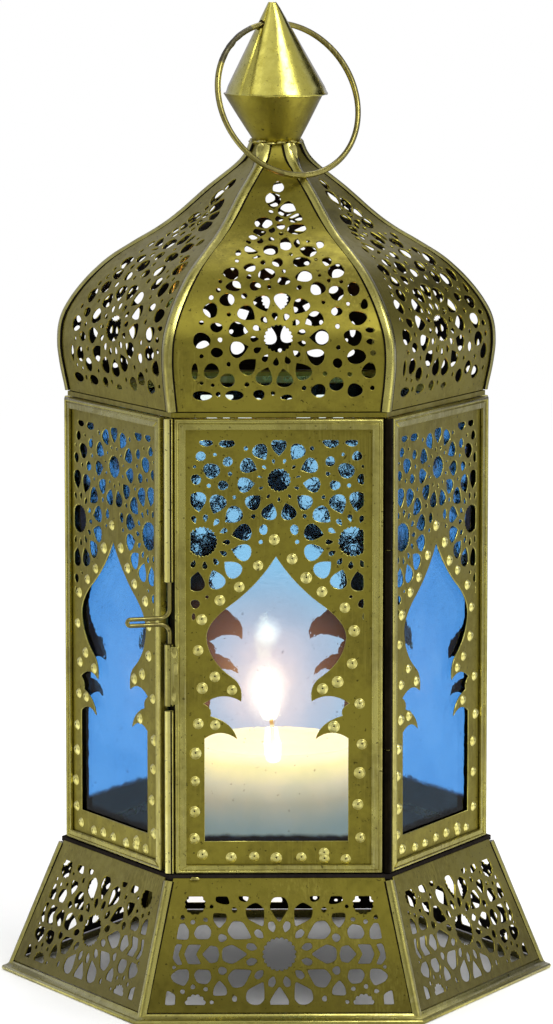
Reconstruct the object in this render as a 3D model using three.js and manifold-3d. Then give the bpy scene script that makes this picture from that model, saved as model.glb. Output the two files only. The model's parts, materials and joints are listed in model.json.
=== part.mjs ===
// Oriental lantern: six pierced brass walls with blue glass between a flared base and
// an onion dome, a hinged front door with a wire latch, a double-cone finial and a
// carrying ring, with a candle inside.
// Millimetres, +Z up, origin at the bottom centre. The door faces -Y.
import * as THREE from "three";
import { mergeVertices } from "three/addons/utils/BufferGeometryUtils.js";
import Module from "manifold-3d";

const wasm = await Module();
wasm.setup();

const sides = 6;
const degree = Math.PI / 180;
const turn = 360 * degree / sides;
const halfTurn = turn / 2;
const flat = Math.cos(halfTurn); // flat distance over corner radius of a hexagon

// Driving dimensions
const clearance = 0.3; // between pieces that touch
const brass = 0.8; // thickness of the base and dome sheet

// Base
const footHeight = 3.3;
const footRadius = 85.5; // lip of the foot, to its corners
const footFlare = 3; // the lip stands out past the skirt
const footBead = 1.5; // rolled edge of the foot
const skirtHeight = 37.2;
const skirtTopRadius = 67;
const skirtStripWidth = 2.8;
const floorThickness = 1.4;
const floorSetback = 0.5; // corners of the floor, inside the top of the skirt
const skirtMargin = { side: 5.5, low: 2.8, top: 4.7 }; // plain border round the holes
const skirtRosetteDrop = 2.6; // centre of the rosette below the middle of the panel
const skirtRosette = { star: 4.8, starCorners: 8, count: 12, inner: 9.4, outer: 16.8, halfWidth: 2.9 };
const skirtKites = [
  // on both sides of the rosette, in line with its centre
  { inner: 18.9, outer: 22.6, halfWidth: 2 },
  { inner: 24, outer: 28.4, halfWidth: 3.4 },
];
const skirtCornerHole = { aside: 25.3, above: 14.5, below: 11, radius: 3, corners: 6 };

// Walls
const wallFace = 57.4; // axis to the front face of each frame
const frameSetback = 2.14; // frame edge to the corner of the body
const frameHeight = 137;
const frameStrip = 3.3; // visible width of the front flange
const frameRail = 2.3; // width of the rail behind the flange
const frameDepth = 3.1;
const flangeThickness = 0.7;
const beadHeight = 0.4; // raised outer edge of the frame
const beadWidth = 1.4;
const beadShoulder = 0.1; // outer chamfer of the bead, past its height
const wallSheet = 0.6;
const glassThickness = 1.8;
const topPlateThickness = 1.4;
const topPlateWidth = 7.2; // ring of the plate, along its corner radius

// Window in each wall sheet
const sillHeight = 10.8; // from the foot of the frame
const windowHalfWidth = 21.3;
const windowSideHeight = 30.8; // straight sides above the sill
const windowCurves = [
  // inset from the side and rise above the straight sides, of the control point and the end
  { control: [4.8, 3.4], end: [9.6, -0.2] },
  { control: [8.4, 4.8], end: [1.7, 6.7] },
  { control: [2.7, 8.8], end: [0, 10.4] },
  { control: [5.4, 14.5], end: [10.8, 11] },
  { control: [11.7, 16.1], end: [7.7, 18.5] },
  { control: [1.1, 23.2], end: [0.6, 30] },
  { control: [0.5, 34.8], end: [8.8, 40.5] },
];
const windowApexControl = [16.3, 46.2];
const windowApexRise = 54.1;

// Holes above the window
const wallFieldMargin = { side: 2.2, top: 2.4 }; // plain border inside the frame's flange
const wallFieldLow = 72; // from the foot of the frame
const crownDrop = 18.3; // centre of the middle rosette below the top of the frame
const crown = { star: 3.4, starCorners: 6, count: 11, inner: 7, outer: 12.2, halfWidth: 2, start: 270 };
const shoulderAside = 22.3;
const shoulderDrop = 36.8;
const shoulder = { star: 4.2, starCorners: 6, count: 13, inner: 9.6, outer: 14.2, halfWidth: 1.9 };
const crownHole = { aside: 20.1, above: 2.8, radius: 2.3, corners: 5 };

// Hinge, latch and their tubes
const pivotRadius = 65; // axis of the lantern to the hinge and latch axes
const tubeRadius = 1.2;
const boreRadius = 0.92;
const pinRadius = 0.65;
const hingeKnuckleLow = 37.5; // from the foot of the frame
const hingeKnuckleLength = 60;
const latchKnuckleLow = 50.8;
const latchKnuckleLength = 18.6;
const latchTubeGap = 1.5; // lower latch tube to the knuckle
const latchWindow = 18.8; // knuckle to the upper latch tube
const latchLegInTube = 12;
const latchBend = 2.8;
const latchLoopLength = 13;
const latchLoopWidth = 1.9; // between the two wires of the loop
const latchLoopHeading = 195; // degrees, seen from above
const latchLeg = 3; // straight lower leg, which drops into the knuckle
const latchWireSteps = 44;

// Dome
const domeProfile = [
  // corner radius, height above the foot of the dome
  [64.3, 0],
  [66.7, 15],
  [64, 26.2],
  [52.4, 39.5],
  [33.5, 51.5],
  [21, 62.1],
  [10.9, 70.4],
  [7.8, 75.9],
];
const domeSteps = 10;
const domeField = {
  // widest half-width of the pierced field up to a height, then its narrow top
  foot: 3.5,
  halfWidth: 27,
  shoulder: 32,
  topHalfWidth: 5,
  topMargin: 12,
};
const domeRosetteRise = 22.3; // along the panel
const domeRosette = { star: 4.3, starCorners: 8, count: 13, inner: 8.9, outer: 14, halfWidth: 2.3 };
const domeUpperRise = 50;
const domeUpper = { count: 5, inner: 2.6, outer: 8.8, halfWidth: 2.6, start: 270 };
const domeNeckHoles = [
  { aside: -1.6, rise: 63.5, radius: 1.9 },
  { aside: 1.2, rise: 72, radius: 1.6 },
];
const domeSideHoles = [
  // on both sides, above or below the centre of the rosette
  { aside: 22.7, above: 0, radius: 2.4 },
  { aside: 15, above: -17, radius: 2.6 },
  { aside: 17.5, above: 14, radius: 2.4 },
];
const smallHoleCorners = 5;
const ribWidth = 3.2;
const ribRise = 0.5; // above the corner of the dome
const ribDepth = 1.4; // below it, between the panels
const spigotDepth = 5.5; // below the top of the neck
const spigotRise = 2.5; // above it, inside the finial

// Finial and ring
const coneFootRadius = 6.9;
const coneTopRadius = 14.5;
const coneHeight = 14.6;
const finialWall = 0.8;
const rimRadius = 15.7;
const rimHeight = 0.8;
const spireHeight = 27.3;
const spireTipRadius = 1.3;
const spireBore = 0.5;
const ringRadius = 24.2; // to the middle of the wire
const ringWire = 0.95;
const ringPivotDrop = 6.9; // ring holes below the tip
const ringHoleClearance = 0.6;
const ringHeading = 30; // degrees, direction of the line through both holes

// Candle
const candleRadius = 26;
const candleHeight = 31.5;
const candleDish = 1.6;
const candleChamfer = 1;
const candleRim = 3.5; // width of the rim round the dish
const wickRadius = 0.8;
const wickRise = 8; // above the candle

// Heights of the stack
const skirtTop = footHeight + skirtHeight;
const floorLow = skirtTop + clearance;
const floorTop = floorLow + floorThickness;
const wallLow = floorTop + clearance;
const wallTop = wallLow + frameHeight;
const plateLow = wallTop + clearance;
const plateTop = plateLow + topPlateThickness;
const domeLow = plateTop + clearance;
const neckTop = domeLow + domeProfile.at(-1)[1];
const coneLow = neckTop + clearance;
const coneTop = coneLow + coneHeight;
const spireLow = coneTop - rimHeight / 2;
const tip = spireLow + rimHeight + spireHeight;

// Walls across a face
const frameHalf = wallFace * Math.tan(halfTurn) - frameSetback;
const frameBack = wallFace - frameDepth;
const railInner = frameHalf - frameRail;
const paneHalf = railInner - clearance;
const flangeFace = wallFace - beadHeight;
const flangeBack = flangeFace - flangeThickness;
const sheetFront = flangeBack - clearance;
const sheetBack = sheetFront - wallSheet;
const glassFront = sheetBack - clearance;
const glassBack = glassFront - glassThickness;
const postFace = frameBack - clearance;
const postSide = paneHalf + clearance;

// Materials
const surface = (color, roughness, metalness, more = {}) =>
  new THREE.MeshStandardMaterial({ color, roughness, metalness, flatShading: true, ...more });
const agedBrass = surface(0x8a7f35, 0.42, 1);
const brightBrass = surface(0xa89a45, 0.32, 1);
const darkBrass = surface(0x5a5426, 0.5, 1);
const blueGlass = surface(0x5a9be1, 0.15, 0, { transparent: true, opacity: 0.45 });
const wax = surface(0xf2e6c8, 0.6, 0);
const cotton = surface(0x2a2018, 0.9, 0);

// Solids and their geometry
function solidOf(geometry) {
  const bare = geometry.clone();
  bare.deleteAttribute("normal");
  bare.deleteAttribute("uv");
  const merged = mergeVertices(bare, 1e-4);
  return new wasm.Manifold(
    new wasm.Mesh({
      numProp: 3,
      vertProperties: merged.attributes.position.array,
      triVerts: new Uint32Array(merged.index.array),
    }),
  );
}

function geometryOf(solid) {
  const mesh = solid.getMesh();
  return new THREE.BufferGeometry()
    .setAttribute("position", new THREE.BufferAttribute(mesh.vertProperties, 3))
    .setIndex(new THREE.BufferAttribute(mesh.triVerts, 1));
}

const points = (list) => list.map(([x, y]) => new THREE.Vector2(x, y));

// A flat outline raised from one height to another.
function prism(outline, low, high) {
  const depth = high - low;
  return new THREE.ExtrudeGeometry(new THREE.Shape(points(outline)), { depth, bevelEnabled: false })
    .translate(0, 0, low);
}

// An outline drawn across a face (sideways, up), from one distance from the axis to another.
const wallPrism = (outline, back, front) => prism(outline, back, front).rotateX(90 * degree);

// A closed profile (radius, height) turned about the vertical axis.
const turned = (profile, segments) =>
  new THREE.LatheGeometry(points([...profile, profile[0]]), segments).rotateX(90 * degree);

// The same with six sides and its corners at the lantern's corners.
const hexTurned = (profile) => turned(profile, sides).rotateZ(halfTurn);

function tube(inner, outer, low, high) {
  return turned([[outer, low], [outer, high], [inner, high], [inner, low]], 12);
}

const rod = (radius, low, high) =>
  new THREE.CylinderGeometry(radius, radius, high - low, 12)
    .rotateX(90 * degree)
    .translate(0, 0, (low + high) / 2);

// A profile that runs upwards, thickened outwards and inwards, as a closed outline.
function bandOutline(profile, outset, inset) {
  const normals = profile.map((point, i) => {
    const before = profile[Math.max(i - 1, 0)];
    const after = profile[Math.min(i + 1, profile.length - 1)];
    const along = after.clone().sub(before).normalize();
    const atEnd = i === 0 || i === profile.length - 1;
    return atEnd ? new THREE.Vector2(1 / along.y, 0) : new THREE.Vector2(along.y, -along.x);
  });
  const shifted = (amount) => profile.map((point, i) => point.clone().addScaledVector(normals[i], amount));
  return [...shifted(outset), ...shifted(-inset).reverse()];
}

// A band seen from the side (distance from the axis, height), made a strip that faces -Y.
function strip(outline, width) {
  const place = new THREE.Matrix4().makeBasis(
    new THREE.Vector3(0, -1, 0),
    new THREE.Vector3(0, 0, 1),
    new THREE.Vector3(-1, 0, 0),
  );
  return new THREE.ExtrudeGeometry(new THREE.Shape(outline), { depth: width, bevelEnabled: false })
    .applyMatrix4(place.setPosition(width / 2, 0, 0));
}

// Everything of a strip that lies between the two corner planes of its face.
function betweenCorners(geometry, fromCorner) {
  const reach = 2 * footRadius;
  const apex = -fromCorner / Math.sin(halfTurn);
  const far = [reach * Math.sin(halfTurn), apex - reach * Math.cos(halfTurn)];
  const wedge = prism([[0, apex], [-far[0], far[1]], [far[0], far[1]]], -1, tip);
  return solidOf(geometry).intersect(solidOf(wedge));
}

// Pierced patterns
// Holes are outlines of (sideways, along the sheet from its lower edge).
const petalFullness = 0.62; // share of a petal's length at its widest place

function around([u, s], heading, outline) {
  const cos = Math.cos(heading);
  const sin = Math.sin(heading);
  return outline.map(([along, across]) => [u + along * cos - across * sin, s + along * sin + across * cos]);
}

function roundHole(centre, radius, corners) {
  const outline = [];
  for (let i = 0; i < corners; i++) outline.push(...around(centre, (i * 360 * degree) / corners, [[radius, 0]]));
  return outline;
}

// A hole pointed at both ends and widest nearer to its outer end.
function petal({ inner, outer, halfWidth }) {
  const widest = inner + (outer - inner) * petalFullness;
  return [[inner, 0], [widest, -halfWidth], [outer, 0], [widest, halfWidth]];
}

// Petals around a centre, from a heading in degrees.
function petals(centre, { count, start = 90, ...shape }) {
  const list = [];
  for (let i = 0; i < count; i++) {
    list.push(around(centre, (start + (i * 360) / count) * degree, petal(shape)));
  }
  return list;
}

const rosette = (centre, shape) => [roundHole(centre, shape.star, shape.starCorners), ...petals(centre, shape)];

const area = (outline) =>
  outline.reduce((sum, [x, y], i) => {
    const [nextX, nextY] = outline[(i + 1) % outline.length];
    return sum + (x * nextY - nextX * y) / 2;
  }, 0);

// The part of a hole inside a convex field that is listed counterclockwise.
function clip(outline, field) {
  let kept = outline;
  field.forEach(([ax, ay], i) => {
    const [bx, by] = field[(i + 1) % field.length];
    const inside = ([x, y]) => (bx - ax) * (y - ay) - (by - ay) * (x - ax);
    const next = [];
    kept.forEach((point, j) => {
      const following = kept[(j + 1) % kept.length];
      const here = inside(point);
      const there = inside(following);
      if (here >= 0) next.push(point);
      if (here * there < 0) {
        const share = here / (here - there);
        next.push([0, 1].map((axis) => point[axis] + (following[axis] - point[axis]) * share));
      }
    });
    kept = next;
  });
  return kept;
}

// Holes trimmed to a field, without the ones that keep too little of themselves.
const leastShare = 0.6;

function trimmed(holes, field) {
  return holes
    .map((hole) => ({ whole: Math.abs(area(hole)), hole: clip(hole, field) }))
    .filter(({ whole, hole }) => hole.length > 2 && Math.abs(area(hole)) > leastShare * whole)
    .map(({ hole }) => hole);
}

// A sheet with its holes punched square to its surface. The curve gives the middle line of
// the face: distance from the axis, height.
function pierced(sheet, curve, holes) {
  const reach = 3;
  const cutters = holes.map((hole) => {
    const middle = hole.reduce((sum, [, s]) => sum + s, 0) / hole.length;
    const share = middle / curve.getLength();
    const point = curve.getPointAt(share);
    const tangent = curve.getTangentAt(share);
    const across = new THREE.Vector3(1, 0, 0);
    const along = new THREE.Vector3(0, -tangent.x, tangent.y);
    const outward = new THREE.Vector3().crossVectors(across, along);
    const place = new THREE.Matrix4().makeBasis(across, along, outward).setPosition(0, -point.x, point.y);
    return solidOf(prism(hole.map(([u, s]) => [u, s - middle]), -reach, reach).applyMatrix4(place));
  });
  return sheet.subtract(wasm.Manifold.union(cutters));
}

// Base pieces
const skirtFootRadius = footRadius - footFlare;
const skirtLine = [new THREE.Vector2(skirtFootRadius, footHeight), new THREE.Vector2(skirtTopRadius, skirtTop)];

function skirtPattern(length, halfFoot, halfTop) {
  const { side, low, top } = skirtMargin;
  const middle = length / 2 - skirtRosetteDrop;
  const across = (s) => halfFoot + ((halfTop - halfFoot) * s) / length - side;
  const field = [
    [-across(low), low],
    [across(low), low],
    [across(length - top), length - top],
    [-across(length - top), length - top],
  ];
  const { aside, above, below, radius, corners } = skirtCornerHole;
  const holes = rosette([0, middle], skirtRosette);
  for (const way of [-1, 1]) {
    for (const kite of skirtKites) holes.push(around([0, middle], way < 0 ? turn * 3 : 0, petal(kite)));
    holes.push(roundHole([way * aside, middle + above], radius, corners));
    holes.push(roundHole([way * aside, middle - below], radius, corners));
  }
  return trimmed(holes, field);
}

function skirtPanel() {
  const face = skirtLine.map((point) => new THREE.Vector2(point.x * flat, point.y));
  const curve = new THREE.LineCurve(...face);
  const sheet = betweenCorners(
    strip(bandOutline(face, 0, brass), 2 * skirtFootRadius),
    skirtStripWidth / 2 + clearance,
  );
  const holes = skirtPattern(curve.getLength(), skirtFootRadius / 2, skirtTopRadius / 2);
  return geometryOf(pierced(sheet, curve, holes));
}

// The flared hexagonal foot with the strips that cover the corners of the skirt.
function footFrame() {
  const foldTop = footHeight - clearance;
  const rim = hexTurned([
    [footRadius - footBead - brass, 0],
    [footRadius - footBead / 4, 0],
    [footRadius, footBead / 2],
    [footRadius - footBead / 4, footBead],
    [skirtFootRadius + clearance, foldTop],
    [skirtFootRadius - 2 * brass, foldTop],
    [footRadius - footBead - 2 * brass, footBead],
  ]);
  const lean = (skirtFootRadius - skirtTopRadius) / skirtHeight;
  const sunk = footHeight - footBead;
  const line = [
    new THREE.Vector2(skirtFootRadius + lean * sunk, footBead),
    new THREE.Vector2(skirtTopRadius, skirtTop),
  ];
  let whole = solidOf(rim);
  for (let i = 0; i < sides; i++) {
    const corner = strip(bandOutline(line, ribRise, ribDepth), skirtStripWidth);
    whole = whole.add(solidOf(corner.rotateZ(halfTurn + i * turn)));
  }
  return geometryOf(whole);
}

const hexagon = (radius) =>
  Array.from({ length: sides }, (_, i) => [radius * Math.cos(i * turn), radius * Math.sin(i * turn)]);

// Wall pieces
// A rebated frame: a front flange with a raised outer bead over a rail that holds sheet and glass.
function wallFrame() {
  const bead = beadHeight + beadShoulder;
  const section = [
    // inwards from the outer edge, distance from the axis
    [0, frameBack],
    [0, wallFace - bead],
    [bead, wallFace],
    [beadWidth - beadHeight, wallFace],
    [beadWidth, flangeFace],
    [frameStrip, flangeFace],
    [frameStrip, flangeBack],
    [frameRail, flangeBack],
    [frameRail, frameBack],
  ];
  const corners = [[1, -1], [1, 1], [-1, 1], [-1, -1]];
  const middle = (wallLow + wallTop) / 2;
  const positions = [];
  for (const [right, up] of corners) {
    for (const [inwards, out] of section) {
      positions.push(right * (frameHalf - inwards), -out, middle + up * (frameHeight / 2 - inwards));
    }
  }
  const count = section.length;
  const index = [];
  for (let c = 0; c < corners.length; c++) {
    for (let i = 0; i < count; i++) {
      const here = c * count;
      const there = ((c + 1) % corners.length) * count;
      const next = (i + 1) % count;
      index.push(here + i, there + i, there + next, here + i, there + next, here + next);
    }
  }
  return new THREE.BufferGeometry()
    .setAttribute("position", new THREE.Float32BufferAttribute(positions, 3))
    .setIndex(index);
}

const paneLow = wallLow + frameRail + clearance;
const paneTop = wallTop - frameRail - clearance;

const paneOutline = [[-paneHalf, paneLow], [paneHalf, paneLow], [paneHalf, paneTop], [-paneHalf, paneTop]];

// Ogee window with two leaf points on each side, standing on its sill.
function windowOutline() {
  const at = ([inset, rise]) => [windowHalfWidth - inset, windowSideHeight + rise];
  const half = new THREE.Path().moveTo(windowHalfWidth, 0).lineTo(windowHalfWidth, windowSideHeight);
  for (const { control, end } of windowCurves) half.quadraticCurveTo(...at(control), ...at(end));
  half.quadraticCurveTo(...at(windowApexControl), 0, windowSideHeight + windowApexRise);
  const right = half.getPoints(2).map((point) => [point.x, point.y]);
  const left = right.slice(0, -1).reverse().map(([x, y]) => [-x, y]);
  return [...right, ...left].map(([x, y]) => [x, y + wallLow + sillHeight]);
}

function wallPattern() {
  const halfField = frameHalf - frameStrip - wallFieldMargin.side;
  const top = frameHeight - frameStrip - wallFieldMargin.top;
  const field = [[-halfField, wallFieldLow], [halfField, wallFieldLow], [halfField, top], [-halfField, top]];
  const crownAt = frameHeight - crownDrop;
  const holes = rosette([0, crownAt], crown);
  for (const way of [-1, 1]) {
    const { aside, above, radius, corners } = crownHole;
    holes.push(...rosette([way * shoulderAside, frameHeight - shoulderDrop], shoulder));
    holes.push(roundHole([way * aside, crownAt + above], radius, corners));
  }
  return trimmed(holes, field);
}

function wallSheetPanel() {
  const sheet = solidOf(wallPrism(paneOutline, sheetBack, sheetFront));
  const window = solidOf(wallPrism(windowOutline(), sheetBack - 1, sheetFront + 1));
  const curve = new THREE.LineCurve(new THREE.Vector2(sheetFront, wallLow), new THREE.Vector2(sheetFront, wallTop));
  return geometryOf(pierced(sheet.subtract(window), curve, wallPattern()));
}

const wallGlass = () => wallPrism(paneOutline, glassBack, glassFront);

// Post behind each corner, between the rails of two frames and the edges of two panes.
function cornerPost() {
  const ridge = [postFace / flat, 0];
  const side = [
    postFace * flat + postSide * Math.sin(halfTurn),
    postSide * flat - postFace * Math.sin(halfTurn),
  ];
  const inner = [postSide / Math.sin(halfTurn), 0];
  return prism([ridge, [side[0], -side[1]], inner, side], wallLow, wallTop);
}

// Dome pieces
const domeCurve = new THREE.SplineCurve(points(domeProfile).map((p) => new THREE.Vector2(p.x, p.y + domeLow)));
const domeLine = domeCurve.getSpacedPoints(domeSteps);
const domeFace = domeLine.map((point) => new THREE.Vector2(point.x * flat, point.y));
const ribGap = ribWidth / 2 + clearance;

function domePattern(length) {
  const { foot, halfWidth, shoulder: bend, topHalfWidth, topMargin } = domeField;
  const field = [
    [-halfWidth, foot],
    [halfWidth, foot],
    [halfWidth, bend],
    [topHalfWidth, length - topMargin],
    [-topHalfWidth, length - topMargin],
    [-halfWidth, bend],
  ];
  const small = ({ aside, rise, radius }) => roundHole([aside, rise], radius, smallHoleCorners);
  const holes = [
    ...rosette([0, domeRosetteRise], domeRosette),
    ...petals([0, domeUpperRise], domeUpper),
    ...domeNeckHoles.map(small),
  ];
  for (const { aside, above, radius } of domeSideHoles) {
    holes.push(small({ aside: -aside, rise: domeRosetteRise + above, radius }));
    holes.push(small({ aside, rise: domeRosetteRise + above, radius }));
  }
  return trimmed(holes, field);
}

function domePanel() {
  const curve = new THREE.SplineCurve(domeFace);
  const sheet = betweenCorners(strip(bandOutline(domeFace, 0, brass), 2 * footRadius), ribGap);
  return geometryOf(pierced(sheet, curve, domePattern(curve.getLength())));
}

const domeRib = () => strip(bandOutline(domeLine, ribRise, ribDepth), ribWidth);

// Flat ring that ties the tops of the walls and carries the dome.
function topPlate() {
  const outer = domeLine[0].x - clearance;
  const inner = outer - topPlateWidth;
  return hexTurned([[outer, plateLow], [outer, plateTop], [inner, plateTop], [inner, plateLow]]);
}

// Short tube that joins the neck of the dome to the finial.
function neckSpigot() {
  const neckInner = domeFace.at(-1).x - brass - 2 * clearance;
  const outer = Math.min(neckInner, coneFootRadius - finialWall - 2 * clearance);
  return turned(
    [
      [outer, neckTop - spigotDepth],
      [outer, neckTop + spigotRise],
      [outer - finialWall, neckTop + spigotRise],
      [outer - finialWall, neckTop - spigotDepth],
    ],
    16,
  );
}

// Finial pieces
function finialLowerCone() {
  return turned(
    [
      [coneFootRadius, coneLow],
      [coneTopRadius, coneTop],
      [coneTopRadius - finialWall, coneTop],
      [coneFootRadius - finialWall, coneLow],
    ],
    24,
  );
}

const ringPivot = new THREE.Vector3(0, 0, tip - ringPivotDrop);
const ringAxis = new THREE.Vector3(Math.cos(ringHeading * degree), Math.sin(ringHeading * degree), 0);
const ringFront = new THREE.Vector3(ringAxis.y, -ringAxis.x, 0); // the side on which the ring hangs

function finialUpperCone() {
  const rimTop = spireLow + rimHeight;
  const slope = (rimRadius - spireTipRadius) / (tip - rimTop);
  const inner = Math.max(rimRadius - finialWall * Math.hypot(1, slope), coneTopRadius + clearance);
  const innerTop = rimTop + (inner - spireBore) / slope;
  const cone = turned(
    [
      [rimRadius, spireLow],
      [rimRadius, rimTop],
      [spireTipRadius, tip],
      [spireBore, Math.min(innerTop, tip)],
      [inner, rimTop],
      [inner, spireLow],
    ],
    24,
  );
  const radius = ringWire + ringHoleClearance;
  const holes = new THREE.CylinderGeometry(radius, radius, 2 * rimRadius, 12)
    .rotateZ(-90 * degree)
    .rotateZ(ringHeading * degree)
    .translate(0, 0, ringPivot.z);
  return geometryOf(solidOf(cone).subtract(solidOf(holes)));
}

// Middle of the ring below the line through its two holes
const holeReach = () => {
  const rimTop = spireLow + rimHeight;
  const slope = (rimRadius - spireTipRadius) / (tip - rimTop);
  return spireTipRadius + slope * ringPivotDrop;
};
const ringDrop = Math.sqrt(ringRadius ** 2 - holeReach() ** 2);

// Lean at which the bottom of the hanging ring rests on the dome rib in front of it.
function restingLean() {
  const rib = domeLine.map((point) => new THREE.Vector3(point.x + ribRise, point.y, 0));
  const reach = ringDrop + ringRadius;
  const gapAt = (lean) => {
    const foot = new THREE.Vector3(reach * Math.sin(lean), ringPivot.z - reach * Math.cos(lean), 0);
    const nearest = new THREE.Vector3();
    const gaps = rib.slice(1).map((end, i) => {
      new THREE.Line3(rib[i], end).closestPointToPoint(foot, true, nearest);
      return nearest.distanceTo(foot);
    });
    return Math.min(...gaps) - ringWire;
  };
  let low = 15 * degree;
  let high = 60 * degree;
  for (let i = 0; i < 40; i++) {
    const middle = (low + high) / 2;
    if (gapAt(middle) < clearance) low = middle;
    else high = middle;
  }
  return high;
}

const ringLean = restingLean();

function carryRing() {
  const down = ringFront.clone().multiplyScalar(Math.sin(ringLean));
  down.z = -Math.cos(ringLean);
  const up = down.clone().negate();
  const place = new THREE.Matrix4()
    .makeBasis(ringAxis, up, new THREE.Vector3().crossVectors(ringAxis, up))
    .setPosition(ringPivot.clone().addScaledVector(down, ringDrop));
  return new THREE.TorusGeometry(ringRadius, ringWire, 7, 36).applyMatrix4(place);
}

// Latch wire: a leg in the upper tube, a loop to pull, and a lower leg over the knuckle.
const knuckleTop = wallLow + latchKnuckleLow + latchKnuckleLength;
const upperTubeLow = knuckleTop + latchWindow;
const legFoot = knuckleTop + clearance;

function latchWire() {
  const lowerWire = legFoot + latchLeg + latchBend;
  const upperWire = lowerWire + latchLoopWidth;
  const tipReach = latchLoopLength - latchLoopWidth / 2;
  const middle = (lowerWire + upperWire) / 2;
  const at = (reach, z) => new THREE.Vector3(reach, 0, z);
  const path = new THREE.CurvePath();
  const line = (from, to) => path.add(new THREE.LineCurve3(from, to));
  const bend = (from, by, to) => path.add(new THREE.QuadraticBezierCurve3(from, by, to));
  line(at(0, upperTubeLow + latchLegInTube), at(0, upperWire + latchBend));
  bend(at(0, upperWire + latchBend), at(0, upperWire), at(latchBend, upperWire));
  line(at(latchBend, upperWire), at(tipReach, upperWire));
  bend(at(tipReach, upperWire), at(latchLoopLength, upperWire), at(latchLoopLength, middle));
  bend(at(latchLoopLength, middle), at(latchLoopLength, lowerWire), at(tipReach, lowerWire));
  line(at(tipReach, lowerWire), at(latchBend, lowerWire));
  bend(at(latchBend, lowerWire), at(0, lowerWire), at(0, lowerWire - latchBend));
  line(at(0, lowerWire - latchBend), at(0, legFoot));
  const section = new THREE.Shape(points(roundHole([0, 0], pinRadius, 6)));
  return new THREE.ExtrudeGeometry(section, { steps: latchWireSteps, bevelEnabled: false, extrudePath: path })
    .rotateZ(latchLoopHeading * degree);
}

// Candle and wick
function candle() {
  const bore = wickRadius + clearance;
  return turned(
    [
      [candleRadius, wallLow],
      [candleRadius, wallLow + candleHeight - candleChamfer],
      [candleRadius - candleChamfer, wallLow + candleHeight],
      [candleRadius - candleRim, wallLow + candleHeight - candleDish],
      [bore, wallLow + candleHeight - candleDish],
      [bore, wallLow],
    ],
    24,
  );
}

// The lantern
const lantern = new THREE.Group();

function add(parent, name, geometry, material) {
  geometry.computeVertexNormals();
  const mesh = new THREE.Mesh(geometry, material);
  mesh.name = name;
  parent.add(mesh);
  return mesh;
}

add(lantern, "foot_frame", footFrame(), agedBrass);
add(lantern, "floor_plate", prism(hexagon(skirtTopRadius - floorSetback), floorLow, floorTop), darkBrass);
add(lantern, "top_plate", topPlate(), agedBrass);

const shapes = {
  skirt: skirtPanel(),
  frame: wallFrame(),
  sheet: wallSheetPanel(),
  glass: wallGlass(),
  post: cornerPost(),
  dome: domePanel(),
  rib: domeRib(),
};

// Faces are numbered from the door, counterclockwise seen from above; face 1 is the door's.
for (let i = 0; i < sides; i++) {
  const face = new THREE.Group();
  face.rotation.z = i * turn;
  lantern.add(face);
  const wall = i === 0 ? "door" : `wall_${i + 1}`;
  add(face, `base_panel_${i + 1}`, shapes.skirt.clone(), agedBrass);
  add(face, `${wall}_frame`, shapes.frame.clone(), brightBrass);
  add(face, `${wall}_sheet`, shapes.sheet.clone(), agedBrass);
  add(face, `${wall}_glass`, shapes.glass.clone(), blueGlass);
  add(face, `dome_panel_${i + 1}`, shapes.dome.clone(), agedBrass);

  const corner = new THREE.Group();
  corner.rotation.z = (i - 1) * turn;
  lantern.add(corner);
  add(corner, `corner_post_${i + 1}`, shapes.post.clone(), darkBrass);
  const ridge = new THREE.Group();
  ridge.rotation.z = halfTurn + i * turn;
  lantern.add(ridge);
  add(ridge, `dome_rib_${i + 1}`, shapes.rib.clone(), brightBrass);
}

// Hinge on the right edge of the door, latch on its left edge.
const pivotAt = (heading) => {
  const place = new THREE.Group();
  place.position.set(pivotRadius * Math.cos(heading), pivotRadius * Math.sin(heading), 0);
  lantern.add(place);
  return place;
};
const hinge = pivotAt(-turn);
const latch = pivotAt(-2 * turn);
const tubeSection = [boreRadius, tubeRadius];
const hingeLow = wallLow + hingeKnuckleLow;
const hingeTop = hingeLow + hingeKnuckleLength;
const latchLow = wallLow + latchKnuckleLow;

add(hinge, "hinge_pin", rod(pinRadius, wallLow, wallTop), darkBrass);
add(hinge, "hinge_tube_lower", tube(...tubeSection, wallLow, hingeLow - clearance), brightBrass);
add(hinge, "door_hinge_knuckle", tube(...tubeSection, hingeLow, hingeTop), brightBrass);
add(hinge, "hinge_tube_upper", tube(...tubeSection, hingeTop + clearance, wallTop), brightBrass);

add(latch, "latch_tube_lower", tube(...tubeSection, wallLow, latchLow - latchTubeGap), brightBrass);
add(latch, "door_latch_knuckle", tube(...tubeSection, latchLow, knuckleTop), brightBrass);
add(latch, "latch_tube_upper", tube(...tubeSection, upperTubeLow, wallTop), brightBrass);
add(latch, "latch_wire", latchWire(), darkBrass);

add(lantern, "neck_spigot", neckSpigot(), darkBrass);
add(lantern, "finial_lower_cone", finialLowerCone(), brightBrass);
add(lantern, "finial_upper_cone", finialUpperCone(), brightBrass);
add(lantern, "carry_ring", carryRing(), agedBrass);
add(lantern, "candle", candle(), wax);
add(lantern, "wick", rod(wickRadius, wallLow, wallLow + candleHeight + wickRise), cotton);

export default lantern;
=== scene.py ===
import itertools
import json
import math
import random

import bpy
import numpy as np
from mathutils import Matrix, Vector, noise


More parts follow.
